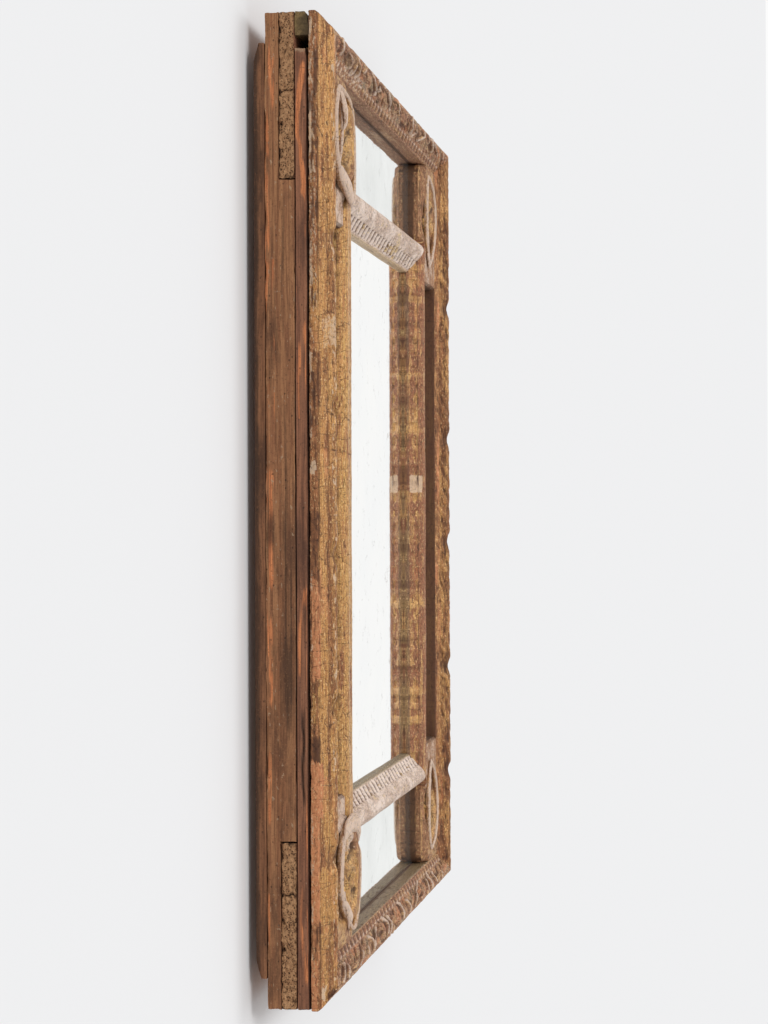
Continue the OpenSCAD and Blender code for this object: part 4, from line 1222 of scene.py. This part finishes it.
def make_corner(corner):
    left = "left" in corner
    center = LEFT_CENTER if left else RIGHT_CENTER
    hooked = corner == "bottom_left"
    raised = HOOK_RISE if hooked else 0.0
    pane_share = 1.0 if left else 0.68

    def rope_line(table, count, closed):
        line = smooth_line(np.array(table[corner]).reshape(-1, 2), count, closed)
        line[:, 0] = np.where(line[:, 0] > 0, line[:, 0] * pane_share, line[:, 0])
        return line

    def path_of(line, lift):
        return np.stack(np.broadcast_arrays(center + line[:, 0], line[:, 1], lift), 1)

    corner_block(corner, center)
    # The rope round the block: on the outer side a pale ridge, on the pane side gilded.
    line = rope_line(RINGS, RING_POINTS, not hooked)
    outer_side, size, lift = 0.7, 2.9, 23.7
    if left:
        outer_side = step(-(line[:, 0] - 8.0) / 40.0, -0.5, 0.4)
        size = 2.6 + 1.0 * outer_side
        lift = 29.6 + raised - (4.6 + raised) * outer_side
    tone = (0.66 - 0.16 * outer_side, 0.44 + 0.08 * outer_side, -0.12)
    scroll_tube(corner, "scroll_ring_" + corner, path_of(line, lift), size, 1.15, not hooked, tone, True)
    # An inner strand leaves the rope and stands off it round a lens-shaped hollow.
    line = rope_line(STRANDS, STRAND_POINTS, False)
    scroll_tube(corner, "scroll_strand_" + corner, path_of(line, 23.8 + raised), 2.7 if left else 1.9,
                1.1, False, (0.30, 0.44, 0.05), True)
    for name, pale, points in LEAVES[corner]:
        line = smooth_line(points, LEAF_POINTS, False)
        path = path_of(line, line[:, 3])
        tone = (0.10 + 0.5 * (pale < 0.4), pale, -0.05)
        scroll_tube(corner, name + "_" + corner, path, line[:, 2], 0.42, False, tone, False)


for corner in CORNERS:
    make_corner(corner)


# Carcass and laths. Heights are measured from the front of the carcass, so that its own
# thickness is below zero.
MEMBER_W = 168.0
CARCASS_T = 31.5
LAP = -17.0
# Between the laps the stile's two halves meet at a slant, so that no slit shows.
REAR_HALF_TOP, FRONT_HALF_FOOT = -16.2, -18.6
# Stains of the stiles: run, half length, height, strength and half width.
STAINS = ((480, 30, -27, 0.9, 9), (640, 22, -24, 0.5, 6), (330, 40, -12, 0.5, 8), (860, 16, -20, 0.45, 5))
# Rubbed orange streaks of the stiles: run from and to, height, half width and strength.
ORANGE = ((700, 905, -30, 5.0, 0.8), (560, 640, -28, 3.0, 0.6), (420, 545, -26, 4.0, 0.8),
          (300, 392, -26, 4.0, 0.8), (180, 262, -28, 3.0, 0.8), (20, 120, -29, 4.0, 0.7),
          (600, 760, -22, 1.4, 0.5), (905, 1000, -24, 4.0, 0.7))
# Crack and worm hole in the end grain of each rail: distance from the mirror's end.
CRACK_AT = {"top": 78.0, "bottom": 116.0}
WORM_AT = {"top": 114.0, "bottom": 60.0}
# The laths' lower and upper ends. The bottom lath lies between the upright ones.
BOTTOM_LATH_INSET = 24.3
LATH_TOP = {"left": 963.7, "right": 975.7, "top": WIDE, "bottom": WIDE - BOTTOM_LATH_INSET}


def worn_bar(name, faces, inside, low, high, place, relief, materials, nodes, pitch=2.0, zone=None):
    """A square-ended wooden member. Its faces are worn by relief, its inside stays as it is."""
    profile = np.array(faces + inside)
    bm = swept_bar(profile, int((high - low) / pitch))
    co = verts_of(bm)
    normals = profile_normals(profile)
    index = find_profile_points(co, profile)
    a, b, t = profile[index, 0], profile[index, 1], co[:, 2]
    c = low + t * (high - low)
    grow, wear, ends = relief(a, b, c)
    grow = np.minimum(grow, 0.0) * (index < len(faces))
    a2 = a + normals[index, 0] * grow
    b2 = b + normals[index, 1] * grow
    c2 = c + ends * (t < 0.5) - ends * (t > 0.5)
    move_verts(bm, place(a2, b2, c2))
    flags = None if zone is None else zone(a, b, c)
    return finish_piece(bm, name, materials, "frame", nodes, wear.rows(), None, flags)


def stile_relief(g):
    """Wear of a stile: split and dented arrises, orange streaks, stains. u inward, z along."""
    def relief(u, h, z):
        outside = 1 - step(u, 0.5, 4.0)
        line = g.marks(z / 180.0, h / 1.6, 3, 0.2, 0.5)
        dent = g.marks(z / 10.0, h / 4.0, 3, 0.35, 0.6)
        edge = hump(h + CARCASS_T, 1.6) + 0.6 * hump(h, 1.0)
        grow = -0.15 - outside * (0.35 * (1 + g.deep(z / 70.0, h / 5.0, 3)) + 0.5 * line + 0.7 * dent)
        grow = grow - edge * (0.9 + 1.3 * g.deep(z / 24.0, h * 0, 3)) * 0.9
        orange = sum(s * window(z, a, b, 12.0) * hump(h - m, w) for a, b, m, w, s in ORANGE)
        orange = orange * (0.7 + 0.5 * g.deep(z / 18.0, h / 1.2, 3))
        orange = orange + 0.22 * g.marks(z / 90.0, h / 2.0, 3, 0.3, 0.5)
        dirt = 0.7 * sum(s * hump(z - a, b) * hump(h - m, w) for a, b, m, s, w in STAINS)
        dirt = dirt + 0.4 * line + 0.12 * g.deep(z / 60.0, h / 8.0, 2) + 0.35 * hump(h, 0.8)
        dirt = dirt + (0.14 + 0.22 * (1 - step(z, 420, 720))) * (h > LAP)
        scuff = 0.10 + 0.5 * outside * g.marks(z / 5.0 + 5, h / 1.5, 2, 0.4, 0.6)
        ends = 0.4 + 0.8 * g.at(u / 6.0, h / 4.0)
        return grow, Wear(orange * outside, scuff, dirt, 1.0), ends

    return relief


def make_stile(side):
    """Outer member of the carcass: full thickness between the laps, its rear half at them."""
    relief = stile_relief(Grain(STILE_SEED + UPRIGHT.index(side)))
    heights = [(0.0, v) for v in np.linspace(-CARCASS_T, 0.0, 24)]

    def place(u, h, z):
        return place_on_edge(side, np.maximum(u, 0), h, z)

    faces = [(6.0, -CARCASS_T), (1.2, -CARCASS_T)]
    faces += [p for p in heights if p[1] < LAP - 0.5] + [(0.0, REAR_HALF_TOP)]
    inside = [(10.0, REAR_HALF_TOP), (MEMBER_W, LAP), (MEMBER_W, -CARCASS_T), (60.0, -CARCASS_T)]
    worn_bar("stile_%s_rear" % side, faces, inside, 0.0, TALL, place, relief, [CARCASS_UP],
             ["carcass_stile_%s" % side])
    faces = [(0.0, FRONT_HALF_FOOT)] + [p for p in heights if p[1] > LAP - 0.5] + [(1.2, 0.0)]
    inside = [(6.0, 0.0), (60.0, 0.0), (MEMBER_W, 0.0), (MEMBER_W, LAP), (10.0, FRONT_HALF_FOOT)]
    worn_bar("stile_%s_front" % side, faces, inside, MEMBER_W, TALL - MEMBER_W, place, relief,
             [CARCASS_UP], [])


def rail_relief(side, g):
    """Wear of a rail: crumbled, cracked and worm-eaten ends. x across, c from the mirror's end."""
    def relief(x, h, c):
        at_end = step(np.abs(x - WIDE / 2), WIDE / 2 - 3.0, WIDE / 2 - 0.5)
        crumb = g.deep(c / 3.2, h / 2.2, 3)
        hollow = g.marks(c / 11.0, h / 5.0, 3, 0.05, 0.5)
        pit = g.marks(c / 4.0 + 9, h / 2.6, 2, 0.25, 0.55)
        rim = hump(h, 1.3) + hump(h - LAP, 1.6) + hump(c, 1.8)
        rim = rim + 1.6 * hump(c - MEMBER_W, 2.6 + 1.6 * g.at(h / 3.0, h * 0))
        crack = hump(c - CRACK_AT[side] - 2.5 * g.deep(h / 5.0, h * 0 + 3, 2), 1.1)
        worm = hump(np.hypot(c - WORM_AT[side], h + 14.2), 1.9)
        loss = 0.5 + 0.45 * crumb + 0.9 * hollow + 1.0 * pit + 2.2 * crack + 3.0 * worm
        loss = loss + 1.2 * np.clip(rim, 0, 1.4) * g.at(c / 3.0, h / 3.0 + 4)
        grow = -at_end * loss - (1 - at_end) * 0.3 * (1 + g.deep(x / 40.0, c / 4.0, 3)) * hump(h, 2.0)
        dirt = 0.35 * pit + 0.7 * crack + 0.9 * worm + 0.28 * hollow + 0.5 * np.clip(rim, 0, 1) * (crumb > 0)
        ends = 0.5 + 0.9 * g.at(x / 8.0, h / 4.0)
        return grow, Wear(0.0, 0.1, at_end * dirt, 1.0), ends

    return relief


def make_rail(side):
    """Top or bottom member: its worm-eaten end grain shows at both ends."""
    sign = 1.0 if side == "top" else -1.0
    faces = [(0.0, v) for v in np.linspace(LAP, 0.0, 15)]
    faces += [(2.0, 0.0), (8.0, 0.0), (60.0, 0.0), (WIDE - 60, 0.0), (WIDE - 8, 0.0), (WIDE - 2, 0.0)]
    faces += [(WIDE, v) for v in np.linspace(0.0, LAP, 15)]
    inside = [(WIDE - MEMBER_W, LAP), (WIDE - MEMBER_W, -CARCASS_T), (MEMBER_W, -CARCASS_T), (MEMBER_W, LAP)]

    def place(x, h, c):
        across, depth = np.clip(x, 0, WIDE) - WIDE / 2, -FRONT - np.minimum(h, 0)
        return np.stack([across, depth, sign * (TALL / 2 - c)], -1)

    def end_faces(x, h, c):
        return (x < 0.5) | (x > WIDE - 0.5)

    relief = rail_relief(side, Grain(RAIL_SEED + LEVEL.index(side)))
    worn_bar("rail_%s" % side, faces, inside, 0.0, MEMBER_W, place, relief,
             [CARCASS_ACROSS, END_GRAIN], ["carcass_rail_%s" % side], 1.6, end_faces)


def lath_relief(side, g, high):
    """Wear of a lath: gaping front, split, crumbled tip, orange streaks, and painted shade under the outer
    moulding. u inward, z along.
    """
    on_left = side == "left"

    def relief(u, h, z):
        front = step(h, 8.5, 12.5)
        tip = step(z, high - 12.0, high) * (side in UPRIGHT)
        split = window(z, 206, 292, 14.0) * hump(h - 6.0 - 2.0 * g.deep(z / 30.0, h * 0, 2), 0.9) * on_left
        grow = -0.3 - 0.35 * (1 + g.deep(z / 60.0, h / 2.0, 3))
        grow = grow - front * (0.6 + 0.7 * g.deep(z / 45.0, h * 0, 3)) - 1.6 * tip * step(h, 4, 12)
        grow = grow - 2.2 * split
        center = 5.0 + 2.4 * np.sin(z / 21.0) + 2.0 * g.deep(z / 26.0, h * 0 + 2, 3)
        lengths = 0.95 * window(z, 815, 950, 8.0) + 0.7 * window(z, 330, 420, 10.0)
        lengths = lengths + 0.6 * window(z, 560, 700, 20.0) * (g.deep(z / 30.0, h * 0 + 9, 2) > 0.0)
        streak = hump(h - center, 3.3) * (lengths + 0.6 * window(z, 20, 130, 20.0))
        edge = hump(h - 10.4, 1.5) * (0.5 + 0.5 * g.deep(z / 40.0, h * 0 + 5, 3)) * window(z, 0, 790, 20.0)
        orange = (0.85 * streak + 0.8 * edge) * on_left + 0.2 * g.marks(z / 80.0, h / 2.0, 3, 0.25, 0.5)
        # The top of the lath's front, under the outer moulding, is darkened: painted shade. The rest of this
        # is dirt.
        dirt = 0.95 * step(h, 11.6, 13.0) + 0.9 * split + 0.16 * (1 - window(z, 790, 965, 12.0))
        dirt = dirt + 0.16 * (1 - step(z, 480, 680)) + 0.3 * g.marks(z / 120.0, h / 1.5, 3, 0.2, 0.5)
        scuff = 0.05 + 0.5 * tip + 0.6 * g.marks(z / 6.0, h / 1.2, 2, 0.45, 0.6) * hump(h - 9.0, 1.5)
        ends = 0.5 + 1.6 * g.at(u / 5.0, h / 3.0)
        return grow, Wear(orange, scuff, dirt, 1.0), ends

    return relief


def make_lath(side):
    """Thin lath between carcass and outer moulding, shrunk and gaping along its front."""
    low, high = BOTTOM_LATH_INSET if side == "bottom" else 0.0, LATH_TOP[side]
    relief = lath_relief(side, Grain(LATH_SEED + EDGES.index(side)), high)
    faces = [(0.0, v) for v in np.linspace(0.0, 10.4, 9)]
    faces += [(0.4, 11.2), (1.1, 12.0), (2.2, 12.7), (3.6, 13.2), (6.0, 13.6)]
    inside = [(16.0, LATH), (24.0, LATH), (24.0, 0.0), (8.0, 0.0)]

    def place(u, h, z):
        return place_on_edge(side, np.maximum(u, 0), np.clip(h, 0, LATH), z)

    worn_bar("lath_%s_worn" % side, faces, inside, low, high, place, relief,
             [LATH_UP if side in UPRIGHT else LATH_ACROSS], ["lath_%s" % side])


for side in UPRIGHT:
    make_stile(side)
for side in LEVEL:
    make_rail(side)
for side in EDGES:
    make_lath(side)


# Solids of the frame that only take a finish
def finish_nodes(names, material):
    for name in names:
        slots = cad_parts[name].data.materials
        slots.clear()
        slots.append(material)


for k in range(1, 6):
    finish_nodes(["back_board_%d" % k], BACK_WOODS[k % 3])
finish_nodes(["corner_pegs"], OAK)
finish_nodes(["back_nails", "outer_nails", "inner_nails", "scroll_nails", "staple_left", "staple_right",
              "hanging_ring_left", "hanging_ring_right"], IRON)
finish_nodes(["glass_centre"], GLASS)
finish_nodes(["glass_top", "glass_bottom", "glass_left", "glass_right"], GREY_GLASS)

# Wall and light, in metres
WALL_HALF = 180.0
WALL_BEHIND = 0.009


def make_wall():
    """A pale wall behind the mirror. Seen from behind it is clear."""
    mesh = bpy.data.meshes.new("wall")
    bm = bmesh.new()
    bmesh.ops.create_grid(bm, x_segments=1, y_segments=1, size=WALL_HALF)
    bmesh.ops.rotate(bm, verts=bm.verts, matrix=Matrix.Rotation(math.radians(90), 3, "X"))
    bmesh.ops.translate(bm, verts=bm.verts, vec=(0.0, WALL_BEHIND, 0.0))
    bm.to_mesh(mesh)
    bm.free()
    wall = bpy.data.objects.new("wall", mesh)
    bpy.context.scene.collection.objects.link(wall)
    material, n = new_material("pale_wall")
    back = n.add("ShaderNodeNewGeometry").outputs["Backfacing"]
    plain = n.add("ShaderNodeBsdfDiffuse", inputs={"Color": (0.86, 0.862, 0.87, 1.0)})
    clear = n.add("ShaderNodeBsdfTransparent")
    mix = n.add("ShaderNodeMixShader", inputs={0: back, 1: plain.outputs[0], 2: clear.outputs[0]})
    n.add("ShaderNodeOutputMaterial", inputs={"Surface": mix.outputs[0]})
    mesh.materials.append(material)
    wall.visible_diffuse = False
    wall.visible_shadow = False


def sun(name, toward, strength, spread):
    light = bpy.data.lights.new(name, "SUN")
    light.energy = strength
    light.angle = math.radians(spread)
    lamp = bpy.data.objects.new(name, light)
    bpy.context.scene.collection.objects.link(lamp)
    lamp.rotation_euler = Vector(toward).to_track_quat("-Z", "Y").to_euler()


def make_light():
    """Soft white light all round, paler where it is seen or mirrored, and two wide lamps."""
    world = bpy.data.worlds.new("studio")
    bpy.context.scene.world = world
    world.use_nodes = True
    n = Nodes(world.node_tree)
    paths = n.add("ShaderNodeLightPath").outputs
    seen = n.most(paths["Is Camera Ray"], paths["Is Glossy Ray"])
    seen = n.most(seen, paths["Is Transmission Ray"])
    soft = n.add("ShaderNodeBackground", inputs={"Color": (1.0, 1.0, 1.0, 1.0), "Strength": 0.62})
    pale = n.add("ShaderNodeBackground", inputs={"Color": (0.97, 0.97, 0.965, 1.0), "Strength": 1.0})
    mix = n.add("ShaderNodeMixShader", inputs={0: seen, 1: soft.outputs[0], 2: pale.outputs[0]})
    n.add("ShaderNodeOutputWorld", inputs={"Surface": mix.outputs[0]})
    sun("key", (0.55, 0.75, -0.35), 1.05, 22.0)
    sun("fill", (-0.45, 0.85, -0.2), 0.5, 30.0)


make_wall()
make_light()
bpy.context.scene.view_settings.view_transform = "Standard"
